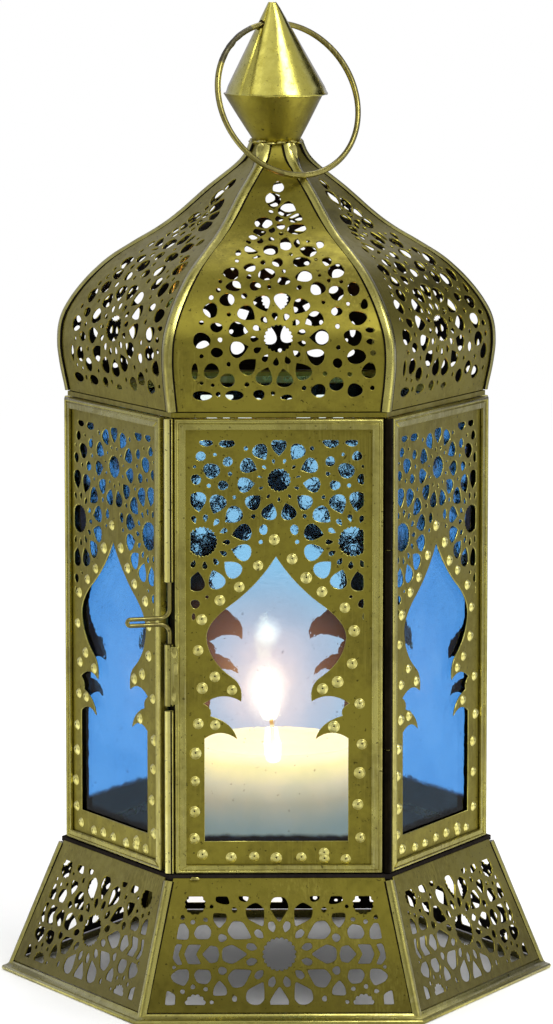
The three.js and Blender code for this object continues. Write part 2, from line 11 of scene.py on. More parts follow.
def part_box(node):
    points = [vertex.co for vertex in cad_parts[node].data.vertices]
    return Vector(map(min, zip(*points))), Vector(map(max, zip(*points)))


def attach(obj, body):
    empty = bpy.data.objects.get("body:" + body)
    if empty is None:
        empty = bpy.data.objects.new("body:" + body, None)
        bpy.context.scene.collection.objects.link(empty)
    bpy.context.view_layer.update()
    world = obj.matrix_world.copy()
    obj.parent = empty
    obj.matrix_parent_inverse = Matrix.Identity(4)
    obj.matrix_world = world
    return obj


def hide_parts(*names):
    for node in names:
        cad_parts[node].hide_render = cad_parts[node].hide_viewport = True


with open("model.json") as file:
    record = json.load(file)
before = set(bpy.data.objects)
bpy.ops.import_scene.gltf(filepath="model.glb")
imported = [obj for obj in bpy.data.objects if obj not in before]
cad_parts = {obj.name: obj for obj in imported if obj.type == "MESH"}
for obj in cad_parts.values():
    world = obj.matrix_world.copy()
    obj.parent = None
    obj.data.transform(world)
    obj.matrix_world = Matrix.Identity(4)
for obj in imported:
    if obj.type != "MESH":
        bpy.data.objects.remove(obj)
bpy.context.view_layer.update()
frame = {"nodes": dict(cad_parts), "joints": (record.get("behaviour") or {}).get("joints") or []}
print("frame loaded")

# Oriental lantern. Sizes below are in millimetres unless a note says otherwise.
mm = 0.001
degree = math.radians(1)
faceCount = 6
turn = 2 * math.pi / faceCount  # from one face to the next
flat = math.cos(turn / 2)  # flat distance over corner radius of a hexagon
wallNames = ["door"] + [f"wall_{i}" for i in range(2, faceCount + 1)]


def nodeBox(node):
    low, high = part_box(node)
    return low / mm, high / mm


# Shader tree tools
class Wire:
    def __init__(self, tree, socket=None):
        self.tree = tree
        self.socket = socket

    def use(self, kind, settings=None, values=None, output=0):
        node = self.tree.nodes.new(kind)
        for name, value in (settings or {}).items():
            if name == "stops":
                elements = node.color_ramp.elements
                while len(elements) < len(value):
                    elements.new(0.5)
                for element, (place, colour) in zip(elements, value):
                    element.position = place
                    element.color = colour
            else:
                setattr(node, name, value)
        for name, value in (values or {}).items():
            if isinstance(value, Wire):
                self.tree.links.new(value.socket, node.inputs[name])
            else:
                node.inputs[name].default_value = value
        return Wire(self.tree, node.outputs[output] if len(node.outputs) else None)

    def maths(self, operation, first, second):
        return self.use("ShaderNodeMath", {"operation": operation}, {0: first, 1: second})

    def __add__(self, other):
        return self.maths("ADD", self, other)

    def __sub__(self, other):
        return self.maths("SUBTRACT", self, other)

    def __rsub__(self, other):
        return self.maths("SUBTRACT", other, self)

    def __mul__(self, other):
        return self.maths("MULTIPLY", self, other)

    __radd__ = __add__
    __rmul__ = __mul__


def newMaterial(name):
    material = bpy.data.materials.new(name)
    material.use_nodes = True
    material.node_tree.nodes.clear()
    return material, Wire(material.node_tree)


def tint(red, green, blue):  # a screen colour, 0 to 255, as the linear colour that the sockets take
    linear = []
    for part in (red, green, blue):
        share = part / 255
        linear.append(share / 12.92 if share <= 0.04045 else ((share + 0.055) / 1.055) ** 2.4)
    return (*linear, 1)


def ramp(start, value, low, high, bottom=0.0, top=1.0):  # a smooth step of value from low to high
    return start.use(
        "ShaderNodeMapRange",
        {"interpolation_type": "SMOOTHSTEP"},
        {0: value, 1: low, 2: high, 3: bottom, 4: top},
    )


def blendColour(start, mask, first, second):
    return start.use("ShaderNodeMix", {"data_type": "RGBA"}, {0: mask, 6: first, 7: second}, output=2)


def stretched(start, place, amounts):
    return start.use("ShaderNodeVectorMath", {"operation": "MULTIPLY"}, {0: place, 1: amounts})


def cloud(start, place, scale, detail=3.0, roughness=0.55):
    values = {"Vector": place, "Scale": scale, "Detail": detail, "Roughness": roughness}
    return start.use("ShaderNodeTexNoise", {}, values)


# Brass in its finishes
brassLooks = {
    "sheet": {
        "base": tint(163, 152, 61),
        "dull": tint(136, 126, 52),
        "dark": tint(70, 63, 30),
        "bright": tint(196, 186, 88),
        "roughness": 0.36,
        "grain": 0.35,
        "shade": 0.45,
    },
    "edge": {
        "base": tint(205, 197, 110),
        "dull": tint(166, 157, 84),
        "dark": tint(84, 77, 40),
        "bright": tint(240, 234, 168),
        "roughness": 0.27,
        "grain": 0.3,
    },
    "polished": {
        "base": tint(228, 218, 110),
        "dull": tint(202, 191, 86),
        "dark": tint(112, 103, 46),
        "bright": tint(243, 236, 150),
        "roughness": 0.2,
        "grain": 0.15,
    },
    # much lighter than the sheet's brass: a painted highlight on the bosses and on the latch rolls
    "boss": {
        "base": tint(244, 236, 150),
        "dull": tint(226, 216, 122),
        "dark": tint(100, 92, 48),
        "bright": tint(253, 249, 200),
        "roughness": 0.33,
        "grain": 0.15,
    },
    "wire": {
        "base": tint(158, 149, 84),
        "dull": tint(118, 109, 64),
        "dark": tint(58, 52, 34),
        "bright": tint(214, 206, 132),
        "roughness": 0.3,
        "grain": 0.25,
    },
    "join": {
        "base": tint(104, 99, 74),
        "dull": tint(66, 62, 48),
        "dark": tint(36, 33, 27),
        "bright": tint(236, 230, 176),
        "roughness": 0.42,
        "grain": 1.0,
    },
    "inner": {
        "base": tint(34, 29, 19),
        "dull": tint(23, 20, 15),
        "dark": tint(14, 12, 10),
        "bright": tint(56, 47, 26),
        "roughness": 0.6,
        "grain": 0.3,
    },
    # near black and without shine: soot, and painted shade on the floor plate
    "soot": {
        "base": tint(36, 32, 29),
        "dull": tint(28, 25, 23),
        "dark": tint(18, 16, 15),
        "bright": tint(56, 49, 40),
        "roughness": 0.75,
        "grain": 0.3,
        "metallic": 0.0,
        "specular": 0.0,
    },
}


def brass(name, look):
    material, start = newMaterial(name)
    place = start.use("ShaderNodeTexCoord", output=3)
    # stains as wide as a thumb, finer ones inside them, and streaks left by the brush
    broad = cloud(start, place, 38, 4)
    fine = cloud(start, place, 320, 5, 0.65)
    streak = cloud(start, stretched(start, place, (1500, 1500, 70)), 1, 3)
    speck = cloud(start, place, 900, 2)
    stain = ramp(start, broad * 0.62 + fine * 0.38, 0.42, 0.62)
    colour = blendColour(start, stain, look["base"], look["dull"])
    shine = ramp(start, broad * 0.5 + streak * 0.5, 0.52, 0.7, 0, 0.4)
    colour = blendColour(start, shine, colour, look["bright"])
    pits = ramp(start, speck, 0.66, 0.73, 0, 0.8)
    colour = blendColour(start, pits, colour, look["dark"])
    # darker towards the foot
    height = start.use("ShaderNodeSeparateXYZ", {}, {0: place}, output=2) * 1000
    low = ramp(start, height + broad * 6 - 3, 6, 34, look.get("shade", 0), 0.0)
    colour = blendColour(start, low, colour, look["dark"])
    least, most = look["roughness"] - 0.06, look["roughness"] + 0.12
    rough = ramp(start, broad * 0.5 + fine * 0.5, 0.35, 0.65, least, most)
    dents = cloud(start, place, 55, 2) * 3 + streak * 0.25 * look["grain"] + speck * 0.3 * look["grain"]
    normal = start.use("ShaderNodeBump", {}, {"Strength": 0.35, "Distance": 0.0004, "Height": dents})
    surface = start.use(
        "ShaderNodeBsdfPrincipled",
        {},
        {
            "Base Color": colour,
            "Metallic": look.get("metallic", 1.0),
            "Specular IOR Level": look.get("specular", 0.5),
            "Roughness": rough,
            "Normal": normal,
        },
    )
    start.use("ShaderNodeOutputMaterial", {}, {"Surface": surface})
    return material


def solderMetal():
    material, start = newMaterial("solder")
    place = start.use("ShaderNodeTexCoord", output=3)
    grey = cloud(start, place, 420, 4)
    colour = blendColour(start, ramp(start, grey, 0.35, 0.65), tint(226, 217, 132), tint(150, 141, 74))
    normal = start.use("ShaderNodeBump", {}, {"Strength": 0.6, "Distance": 0.0003, "Height": grey})
    surface = start.use(
        "ShaderNodeBsdfPrincipled",
        {},
        {"Base Color": colour, "Metallic": 1.0, "Roughness": 0.34, "Normal": normal},
    )
    start.use("ShaderNodeOutputMaterial", {}, {"Surface": surface})
    return material


glassLook = {
    "clear": tint(141, 192, 233),
    "deep": tint(134, 187, 230),
    "darkGlass": tint(26, 30, 48),
    "sill": 52.1,  # bottom of the window
    "crown": (126, 132),  # heights between which the glass turns rippled
    "roughness": 0.0,
}
# Painted glow on the pane behind the flame: candle light and the flame's reflection, painted into its
# emission:
# aside and height of the middle, radius, height over width, colour
paintedGlowList = [
    ((-2.0, 80.0), 40, 1.1, (0.72, 0.17, 0.06, 1)),
    ((-2.2, 80.0), 19, 1.3, (0.75, 0.2, 0.04, 1)),
    ((-2.4, 78.5), 8.5, 1.5, (1.5, 0.7, 0.35, 1)),
    ((-1.9, 97.3), 5.4, 1.1, (0.8, 0.5, 0.3, 1)),
]
# How pale that pane is painted near the flame and far off: painted glow in its base colour
paintedGlowTints = [(0.88, 0.74, 0.66, 1), (0.88, 0.98, 0.93, 1)]


def blueGlass(name, paintedGlowList=()):
    look = glassLook
    material, start = newMaterial(name)
    place = start.use("ShaderNodeTexCoord", output=3)
    height = start.use("ShaderNodeSeparateXYZ", {}, {0: place}, output=2)
    wave = cloud(start, place, 90, 3)
    seeds = start.use("ShaderNodeTexVoronoi", {"feature": "F1"}, {"Vector": place, "Scale": 420.0})
    seed = ramp(start, seeds, 0.0, 0.14, 1.0, 0.0)
    colour = blendColour(start, ramp(start, wave, 0.35, 0.65), look["clear"], look["deep"])
    light = (0, 0, 0, 1)
    # painted glow and painted reflection of the flame, added into the emission; the first one also paints
    # the base colour paler
    for i, ((aside, level), radius, tall, paintedGlow) in enumerate(paintedGlowList):
        middle = Vector((aside, 0, level)) * mm
        shift = start.use("ShaderNodeVectorMath", {"operation": "SUBTRACT"}, {0: place, 1: middle})
        flatShift = stretched(start, shift, (1000 / radius, 0, 1000 / radius / tall))
        reach = start.use("ShaderNodeVectorMath", {"operation": "LENGTH"}, {0: flatShift}, output=1)
        paintedGlowSpot = blendColour(start, ramp(start, reach, 0, 1, 1, 0), (0, 0, 0, 1), paintedGlow)
        before = light if i else (0, 0, 0)
        light = start.use("ShaderNodeVectorMath", {"operation": "ADD"}, {0: paintedGlowSpot, 1: before})
        if i == 0:
            colour = blendColour(start, ramp(start, reach, 0.5, 1), *paintedGlowTints)
    # darker along the bottom of the window, and specks of soot
    edge = height * 1000 - cloud(start, place, 150, 5) * 2.6
    darkGlass = ramp(start, edge, look["sill"] - 0.6, look["sill"] + 0.9, 0.98, 0.0)
    colour = blendColour(start, darkGlass, colour, look["darkGlass"])
    soot = ramp(start, cloud(start, place, 520, 2), 0.72, 0.75, 0.0, 0.45)
    colour = blendColour(start, soot, colour, look["darkGlass"])
    ripple = cloud(start, place, 620, 3) * ramp(start, height * 1000, *look["crown"], 0.1, 1.1)
    bump = wave * 1.4 + seed * 0.25 + ripple
    normal = start.use("ShaderNodeBump", {}, {"Strength": 0.2, "Distance": 0.0005, "Height": bump})
    surface = start.use(
        "ShaderNodeBsdfPrincipled",
        {},
        {
            "Base Color": colour,
            "Roughness": look["roughness"],
            "IOR": 1.2,
            "Transmission Weight": 1.0,
            "Emission Color": light,
            "Emission Strength": 1.0 if paintedGlowList else 0.0,
            "Normal": normal,
        },
    )
    start.use("ShaderNodeOutputMaterial", {}, {"Surface": surface})
    return material


waxLook = {
    # painted light: the wax's colour runs from shaded to lit as it nears the flame
    "shade": tint(206, 208, 196),
    "lit": tint(246, 236, 196),
    "pool": 72.0,  # above this height the wax is melted and shines
    "paintedGlow": [  # height, painted glow that stands for the flame's light through the wax
        (46, (0.75, 0.44, 0.22, 1)),
        (56, (1.6, 0.64, 0.2, 1)),
        (64, (2.6, 1.05, 0.34, 1)),
        (71, (4.2, 1.66, 0.36, 1)),
        (73.2, (4.3, 1.85, 0.66, 1)),
    ],
    "spot": (-1.3, -3.5, nodeBox("candle")[1].z - 2.4),  # the flame's painted reflection on the melted wax
    "spotWeights": (1000, 70, 1400),
    "spotRadius": 2.3,
}


def candleWax():
    look = waxLook
    material, start = newMaterial("candleWax")
    place = start.use("ShaderNodeTexCoord", output=3)
    height = start.use("ShaderNodeSeparateXYZ", {}, {0: place}, output=2) * 1000
    uneven = cloud(start, place, 60, 3)
    low, high = look["paintedGlow"][0][0], look["paintedGlow"][-1][0]
    stops = [((level - low) / (high - low), light) for level, light in look["paintedGlow"]]
    # painted glow: emission that stands for the flame's light through the wax, and a painted reflection of
    # the flame on the pool
    level = ramp(start, height + uneven * 0.8 - 0.4, low, high)
    paintedGlow = start.use("ShaderNodeValToRGB", {"stops": stops}, {0: level})
    image = Vector(look["spot"]) * mm
    shift = start.use("ShaderNodeVectorMath", {"operation": "SUBTRACT"}, {0: place, 1: image})
    weighed = stretched(start, shift, look["spotWeights"])
    reach = start.use("ShaderNodeVectorMath", {"operation": "LENGTH"}, {0: weighed}, output=1)
    spot = ramp(start, reach, look["spotRadius"] * 0.75, look["spotRadius"] * 1.3, 1.0, 0.0)
    paintedGlow = blendColour(start, spot, paintedGlow, (14, 7, 3, 1))
    # painted light in the base colour too: shaded low down, lit near the flame
    colour = blendColour(start, level, look["shade"], look["lit"])
    melted = ramp(start, height, look["pool"] - 0.6, look["pool"], 0.5, 0.12)
    bump = uneven * 1.5 + cloud(start, place, 500, 3) * 0.15
    normal = start.use("ShaderNodeBump", {}, {"Strength": 0.25, "Distance": 0.0006, "Height": bump})
    surface = start.use(
        "ShaderNodeBsdfPrincipled",
        {},
        {
            "Base Color": colour,
            "Roughness": melted,
            "Emission Color": paintedGlow,
            "Emission Strength": 1.0,
            "Normal": normal,
        },
    )
    start.use("ShaderNodeOutputMaterial", {}, {"Surface": surface})
    return material


def wickCotton():
    material, start = newMaterial("wickCotton")
    place = start.use("ShaderNodeTexCoord", output=3)
    height = start.use("ShaderNodeSeparateXYZ", {}, {0: place}, output=2)
    burnt = ramp(start, height * 1000 + cloud(start, place, 900, 2) * 2, 76.0, 78.5)
    colour = blendColour(start, burnt, tint(214, 190, 140), tint(84, 52, 26))
    drowned = ramp(start, height * 1000, 76.6, 77.8, 1.0, 0.0)  # painted glow, lit like the pool that it stands in
    surface = start.use(
        "ShaderNodeBsdfPrincipled",
        {},
        {
            "Base Color": colour,
            "Roughness": 0.85,
            "Emission Color": blendColour(start, drowned, (2.6, 0.72, 0.12, 1), (4.4, 2.0, 0.8, 1)),
            "Emission Strength": 1.0,
        },
    )
    start.use("ShaderNodeOutputMaterial", {}, {"Surface": surface})
    return material


def flameLight():
    material, start = newMaterial("flame")
    place = start.use("ShaderNodeTexCoord", output=3)
    height = start.use("ShaderNodeSeparateXYZ", {}, {0: place}, output=2)
    rise = ramp(start, height * 1000, 79.0, 96.0)
    facing = start.use("ShaderNodeLayerWeight", {}, {"Blend": 0.5}, output=1)
    colour = blendColour(start, rise, (1.0, 0.5, 0.17, 1), (1.0, 0.62, 0.28, 1))
    hot = start.use("ShaderNodeEmission", {}, {"Color": colour, "Strength": 60.0})
    clear = start.use("ShaderNodeBsdfTransparent")
    thick = 1 - facing
    body = thick * thick * thick * thick
    mixed = start.use("ShaderNodeMixShader", {}, {0: body * thick, 1: clear, 2: hot})
    start.use("ShaderNodeOutputMaterial", {}, {"Surface": mixed})
    return material


finishes = {
    "sheet": brass("agedBrass", brassLooks["sheet"]),
    "polished": brass("polishedBrass", brassLooks["polished"]),
    "edge": brass("brightBrass", brassLooks["edge"]),
    "wire": brass("wireBrass", brassLooks["wire"]),
    "boss": brass("bossBrassPaintedHighlight", brassLooks["boss"]),
    "join": brass("joinedBrass", brassLooks["join"]),
    "inner": brass("innerBrass", brassLooks["inner"]),
    "soot": brass("sootAndShadeBrass", brassLooks["soot"]),
    "solder": solderMetal(),
    "glass": blueGlass("blueGlass"),
    "litGlass": blueGlass("litGlass", paintedGlowList),
    "wax": candleWax(),
    "wick": wickCotton(),
    "flame": flameLight(),
}
print("finishes mixed")


# Bench tools: select, shape, copy, settle
def selectOnly(*pieces):
    if bpy.context.mode != "OBJECT":
        bpy.ops.object.mode_set(mode="OBJECT")
    bpy.ops.object.select_all(action="DESELECT")
    for piece in pieces:
        piece.select_set(True)
    bpy.context.view_layer.objects.active = pieces[0]


def editAll(piece):
    selectOnly(piece)
    bpy.ops.object.mode_set(mode="EDIT")
    bpy.ops.mesh.select_all(action="SELECT")


def paintWith(piece, *names):
    piece.data.materials.clear()
    for name in names:
        piece.data.materials.append(finishes[name])


def cleanUp(piece):  # doubles merged, faces pointing out
    editAll(piece)
    bpy.ops.mesh.remove_doubles(threshold=0.002 * mm)
    bpy.ops.mesh.normals_make_consistent(inside=False)
    bpy.ops.object.mode_set(mode="OBJECT")


def applyModifier(piece, kind, **settings):
    modifier = piece.modifiers.new(kind.lower(), kind)
    for name, value in settings.items():
        setattr(modifier, name, value)
    selectOnly(piece)
    bpy.ops.object.modifier_apply(modifier=modifier.name)


def roundEdges(piece, width, segments=2, angle=30):
    applyModifier(
        piece, "BEVEL", width=width * mm, segments=segments, limit_method="ANGLE", angle_limit=angle * degree
    )


def smoothed(piece, angle=30):
    selectOnly(piece)
    bpy.ops.object.shade_smooth_by_angle(angle=angle * degree)
    return piece


def joined(name, pieces):
    selectOnly(*pieces)
    if len(pieces) > 1:
        bpy.ops.object.join()
    whole = bpy.context.object
    whole.name = name
    whole.data.name = name
    return whole


def applyPlace(piece):
    selectOnly(piece)
    bpy.ops.object.transform_apply(location=True, rotation=True, scale=True)
    return piece


def copyOf(source, name, angle=0.0, shift=(0, 0, 0)):  # its own mesh, turned about the lantern's axis
    piece = source.copy()
    piece.data = source.data.copy()
    piece.name = name
    piece.data.name = name
    bpy.context.collection.objects.link(piece)
    piece.rotation_euler.z = angle
    piece.location = Vector(shift) * mm
    return applyPlace(piece)


def discard(*pieces):
    for piece in pieces:
        bpy.data.objects.remove(piece)


def settle(piece, body, node=None):
    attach(piece, body)
    if node:
        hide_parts(node)
    return piece


# A ring of edges raised step by step: each step is (half width, half depth, height)
def raiseRing(name, corners, steps, start=0.0, lid=False, closed=False):
    bpy.ops.object.select_all(action="DESELECT")
    bpy.ops.mesh.primitive_circle_add(vertices=corners, radius=1, rotation=(0, 0, start))
    piece = bpy.context.object
    piece.name = name
    applyPlace(piece)
    editAll(piece)
    before = (1, 1, 0)
    for i, step in enumerate(steps):
        if i > 0:
            bpy.ops.mesh.extrude_edges_move()
        across, deep, high = (size * mm for size in step)
        bpy.ops.transform.resize(value=(across / before[0], deep / before[1], 1), center_override=(0, 0, 0))
        bpy.ops.transform.translate(value=(0, 0, high - before[2]))
        before = (across, deep, high)
    if lid:
        bpy.ops.mesh.edge_face_add()
    bpy.ops.object.mode_set(mode="OBJECT")
    if closed or lid:
        cleanUp(piece)
    return piece


def roundSteps(profile):
    return [(radius, radius, height) for radius, height in profile]


def turnedPiece(name, profile, corners=64, start=0.0):  # a closed profile, turned about the axis
    return raiseRing(name, corners, roundSteps([*profile, profile[0]]), start, closed=True)


def moveVertices(piece, rule):  # rule takes and gives a point in millimetres
    for vertex in piece.data.vertices:
        vertex.co = Vector(rule(vertex.co / mm)) * mm
    piece.data.update()


# Hole shapes, drawn flat: sideways u, along the sheet s
def placed(loop, centre, heading=0.0):
    cos, sin = math.cos(heading * degree), math.sin(heading * degree)
    return [(centre[0] + x * cos - y * sin, centre[1] + x * sin + y * cos) for x, y in loop]


def softened(loop, radius):  # corners rounded off with three points each
    points = [Vector(point) for point in loop]
    rounded = []
    for i, corner in enumerate(points):
        before, after = points[i - 1], points[(i + 1) % len(points)]
        back = (before - corner) * min(0.45, radius / max((before - corner).length, 1e-6))
        ahead = (after - corner) * min(0.45, radius / max((after - corner).length, 1e-6))
        middle = corner + (back + ahead) * 0.25
        rounded += [tuple(corner + back), tuple(middle), tuple(corner + ahead)]
    return rounded


def starHole(radius, points, depth):
    loop = []
    for i in range(points * 4):
        reach = radius - depth * (1 - abs(math.sin(i * math.pi / 4)))
        angle = 2 * math.pi * i / (points * 4)
        loop.append((reach * math.cos(angle), reach * math.sin(angle)))
    return loop


def dropHole(inner, outer, width, corners=16):  # pointed at its inner end
    loop = []
    for i in range(corners):
        angle = 2 * math.pi * i / corners
        x = (inner + outer) / 2 - math.cos(angle) * (outer - inner) / 2
        loop.append((x, -width / 2 * math.sin(angle) * math.sin(angle / 2) / 0.77))
    return loop


def shieldHole(inner, outer, width):  # pointed inwards, with a flat outer end
    length = outer - inner
    loop = [
        (inner, 0),
        (inner + 0.62 * length, -width / 2),
        (outer, -width * 0.3),
        (outer, width * 0.3),
        (inner + 0.62 * length, width / 2),
    ]
    return softened(loop, 1.0)


def pebbleHole(centre, width, height, chance):  # a rounded hole with the slight unevenness of hand work
    corners = 12 if max(width, height) > 2 else 8
    lean = chance.uniform(0, 6.28)
    pull = chance.uniform(0.02, 0.1)
    loop = []
    for i in range(corners):
        angle = 2 * math.pi * i / corners
        reach = 1 + pull * math.cos(3 * angle + lean) + 0.05 * math.cos(2 * angle - lean)
        x, y = width / 2 * reach * math.cos(angle), height / 2 * reach * math.sin(angle)
        loop.append((centre[0] + x, centre[1] + y))
    return loop


def ringOf(count, start, loop, centre):
    return [placed(loop, centre, start + i * 360 / count) for i in range(count)]


def clipped(loop, field):  # the part of a loop inside a convex field that runs counterclockwise
    kept = loop
    for i, (ax, ay) in enumerate(field):
        bx, by = field[(i + 1) % len(field)]
        inside = [(bx - ax) * (y - ay) - (by - ay) * (x - ax) for x, y in kept]
        found = []
        for j, point in enumerate(kept):
            following, here, there = kept[(j + 1) % len(kept)], inside[j], inside[(j + 1) % len(kept)]
            if here >= 0:
                found.append(point)
            if here * there < 0:
                share = here / (here - there)
                found.append(tuple(point[axis] + (following[axis] - point[axis]) * share for axis in (0, 1)))
        kept = found
    return kept


def loopArea(loop):
    return abs(sum(x * loop[i - 1][1] - loop[i - 1][0] * y for i, (x, y) in enumerate(loop))) / 2


def cutBack(loop, point, away):  # the part of a loop on the near side of a line square to away
    kept = []
    for i, here in enumerate(loop):
        there = loop[(i + 1) % len(loop)]
        a = (here[0] - point[0]) * away[0] + (here[1] - point[1]) * away[1]
        b = (there[0] - point[0]) * away[0] + (there[1] - point[1]) * away[1]
        if a <= 0:
            kept.append(here)
        if a * b < 0:
            share = a / (a - b)
            kept.append((here[0] + (there[0] - here[0]) * share, here[1] + (there[1] - here[1]) * share))
    return kept


def drawnApart(holes, fixed, web):
    # holes that come too close are cut back square to the gap between them, so a web of metal is left
    middles = [np.array(hole).mean(0) for hole in holes]
    for i, j in itertools.combinations(range(len(holes)), 2):
        first, second = np.array(holes[i]), np.array(holes[j])
        if min(len(first), len(second)) < 3:
            continue
        away = middles[j] - middles[i]
        gaps = np.sqrt(((first[:, None] - second[None]) ** 2).sum(2))
        a, b = np.unravel_index(gaps.argmin(), gaps.shape)
        line = away / np.linalg.norm(away)
        overlap = ((first - middles[i]) @ line).max() - ((second - middles[i]) @ line).min()
        if gaps[a, b] >= web and (overlap < 0 or np.linalg.norm(away) > 6):
            continue
        short = web - gaps[a, b]
        start, end = first[a], second[b]
        if overlap > 0 and gaps[a, b] < web:
            short = overlap + web
            start = middles[i] + line * ((first - middles[i]) @ line).max()
            end = middles[i] + line * ((second - middles[i]) @ line).min()
        elif gaps[a, b] > 1e-6:
            line = (end - start) / gaps[a, b]
        share = 1.0 if j < fixed else 0.0 if i < fixed else 0.5
        if i < fixed and j < fixed:
            continue
        holes[i] = cutBack(holes[i], start - line * short * share, line)
        holes[j] = cutBack(holes[j], end + line * short * (1 - share), -line)
    return holes


def rounded(loop):  # each corner cut off at a quarter of its sides
    found = []
    for i, (x, y) in enumerate(loop):
        nextX, nextY = loop[(i + 1) % len(loop)]
        for share in (0.25, 0.75):
            found.append((x * (1 - share) + nextX * share, y * (1 - share) + nextY * share))
    return found


def fitted(holes, field, fixed=0, web=0.6, least=0.35):
    # holes cut to the field and drawn apart; the first ones, as many as fixed, keep their shape
    def largeOnes(shapes):
        return [shape for shape in shapes if len(shape) > 2 and loopArea(shape) > least]

    shapes = holes[:fixed] + [clipped(hole, field) for hole in holes[fixed:]]
    for _ in range(2):
        shapes = drawnApart(largeOnes(shapes), fixed, web)
    return [shape if i < fixed else rounded(shape) for i, shape in enumerate(largeOnes(shapes))]


# Sheets: cut out flat with their holes, then folded on to the lantern
def cutSheet(name, outline, holes, thickness, edge=0.1):
    drawing = bpy.data.curves.new(name, "CURVE")
    drawing.dimensions = "2D"
    drawing.fill_mode = "BOTH"
    drawing.extrude = (thickness / 2 - edge) * mm
    drawing.bevel_depth = edge * mm
    drawing.bevel_resolution = 0
    drawing.offset = -edge * mm
    for loop in [outline, *holes]:
        spline = drawing.splines.new("POLY")
        spline.points.add(len(loop) - 1)
        for point, (u, s) in zip(spline.points, loop):
            point.co = (u * mm, s * mm, 0, 1)
        spline.use_cyclic_u = True
    sheet = bpy.data.objects.new(name, drawing)
    bpy.context.collection.objects.link(sheet)
    selectOnly(sheet)
    bpy.ops.object.convert(target="MESH")
    sheet = bpy.context.object
    cleanUp(sheet)
    paintWith(sheet, "sheet", "inner")
    for face in sheet.data.polygons:
        face.material_index = 1 if face.normal.z < -0.5 else 0
    return sheet


def creaseAcross(piece, stations):  # cuts across the sheet, so that it can follow a curve
    for s in stations:
        editAll(piece)
        bpy.ops.mesh.bisect(plane_co=(0, s * mm, 0), plane_no=(0, 1, 0), use_fill=False)
    bpy.ops.object.mode_set(mode="OBJECT")


def foldOnto(piece, line, outwards=0.0):
    # line: distance from the axis and height, from the sheet's lower edge upwards
    line = np.array(line, float)
    steps = np.sqrt((np.diff(line, axis=0) ** 2).sum(1))
    along = np.concatenate([[0], np.cumsum(steps)])
    slope = np.gradient(line, along, axis=0)
    slope /= np.sqrt((slope**2).sum(1))[:, None]

    def fold(point):
        u, s, out = point.x, point.y, point.z + outwards
        w, z = np.interp(s, along, line[:, 0]), np.interp(s, along, line[:, 1])
        tangent = Vector((np.interp(s, along, slope[:, 0]), np.interp(s, along, slope[:, 1]))).normalized()
        beyond = min(s, 0) + max(s - along[-1], 0)
        return (
            u,
            -(w + tangent.x * beyond + tangent.y * out),
            z + tangent.y * beyond - tangent.x * out,
        )

    moveVertices(piece, fold)
    return piece


# The wall to the left of the door was folded a little narrower than the others
narrowWall = {"wall": "wall_6", "strip": 3.3, "leftStrip": 2.4, "width": 0.953}


def fitWidth(piece, wall):
    part, half = narrowWall, wallHigh.x
    if wall != part["wall"]:
        return
    drawn = [0, part["strip"], 2 * half - part["strip"], 2 * half]
    made = [0, part["leftStrip"], 2 * half * part["width"] - part["strip"], 2 * half * part["width"]]
    moveVertices(piece, lambda point: (np.interp(point.x + half, drawn, made) - half, point.y, point.z))


# Wall sheets
wallLow, wallHigh = nodeBox("door_frame")
sheetLow, sheetHigh = nodeBox("door_sheet")
glassLow, glassHigh = nodeBox("door_glass")
wallSheet = {
    "thickness": 0.45,
    "face": -sheetLow.y,
    "foot": sheetLow.z - 0.5,  # down behind the frame's lower strip
    "top": sheetHigh.z,
    "half": sheetHigh.x,
    "sill": wallLow.z + 9.6,
    "field": (-26.3, 25.2),
    "windowDrift": -0.75,  # the stencil for the window was laid a little off the middle
    "apexDrift": -0.9,
    "fieldTop": wallHigh.z - 6.4,
    "fieldLow": wallLow.z + 72,
    "crown": wallLow.z + 118.7,
    "shoulders": (-22.8, 22.1),
    "shoulderHeight": wallLow.z + 100.2,
    "bossRadius": 1.5,
    "bossRise": 0.75,
    "seed": 4,
}
windowCurves = [  # right half of the window, from its sill: control point and end of each curve
    ((21.45, 0), (21.45, 31.2)),
    ((16.5, 34.7), (11.7, 31.0)),
    ((12.9, 36.1), (19.7, 38.0)),
    ((18.8, 40.2), (21.7, 41.8)),
    ((15.9, 45.9), (10.5, 42.4)),
    ((9.6, 47.6), (13.6, 50.0)),
    ((20.2, 54.8), (20.8, 61.7)),
    ((20.9, 66.5), (12.5, 72.3)),
    ((5.0, 78.1), (0, 86.1)),
]
crownPebbles = [  # right half, from the middle of the crown rosette: aside, above, width, height
    (15.2, 5.5, 2.8, 2.8),
    (16.6, -1.6, 2.9, 2.9),
    (24.6, 0.2, 2.8, 3.0),
    (23.2, 7.1, 2.8, 2.8),
    (20.0, 2.8, 4.7, 4.5),
    (15.4, 11.0, 4.6, 2.6),
    (21.6, 11.1, 3.8, 2.0),
    (9.8, 9.4, 1.3, 1.3),
    (19.0, 7.6, 1.0, 1.0),
    (14.5, 1.8, 1.2, 1.3),
    (20.8, -1.7, 1.2, 1.2),
    (25.0, 4.0, 1.0, 1.0),
    (13.2, -5.2, 1.1, 1.2),
    (7.6, -10.9, 1.3, 1.4),
    (4.6, -14.9, 2.4, 2.9),
    (5.4, -18.6, 1.2, 1.2),
    (21.4, -35.1, 1.0, 1.0),
    (24.9, -37.2, 2.6, 2.6),
    (25.4, -41.0, 1.0, 2.0),
    (5.8, 0.2, 0.7, 0.7),
]
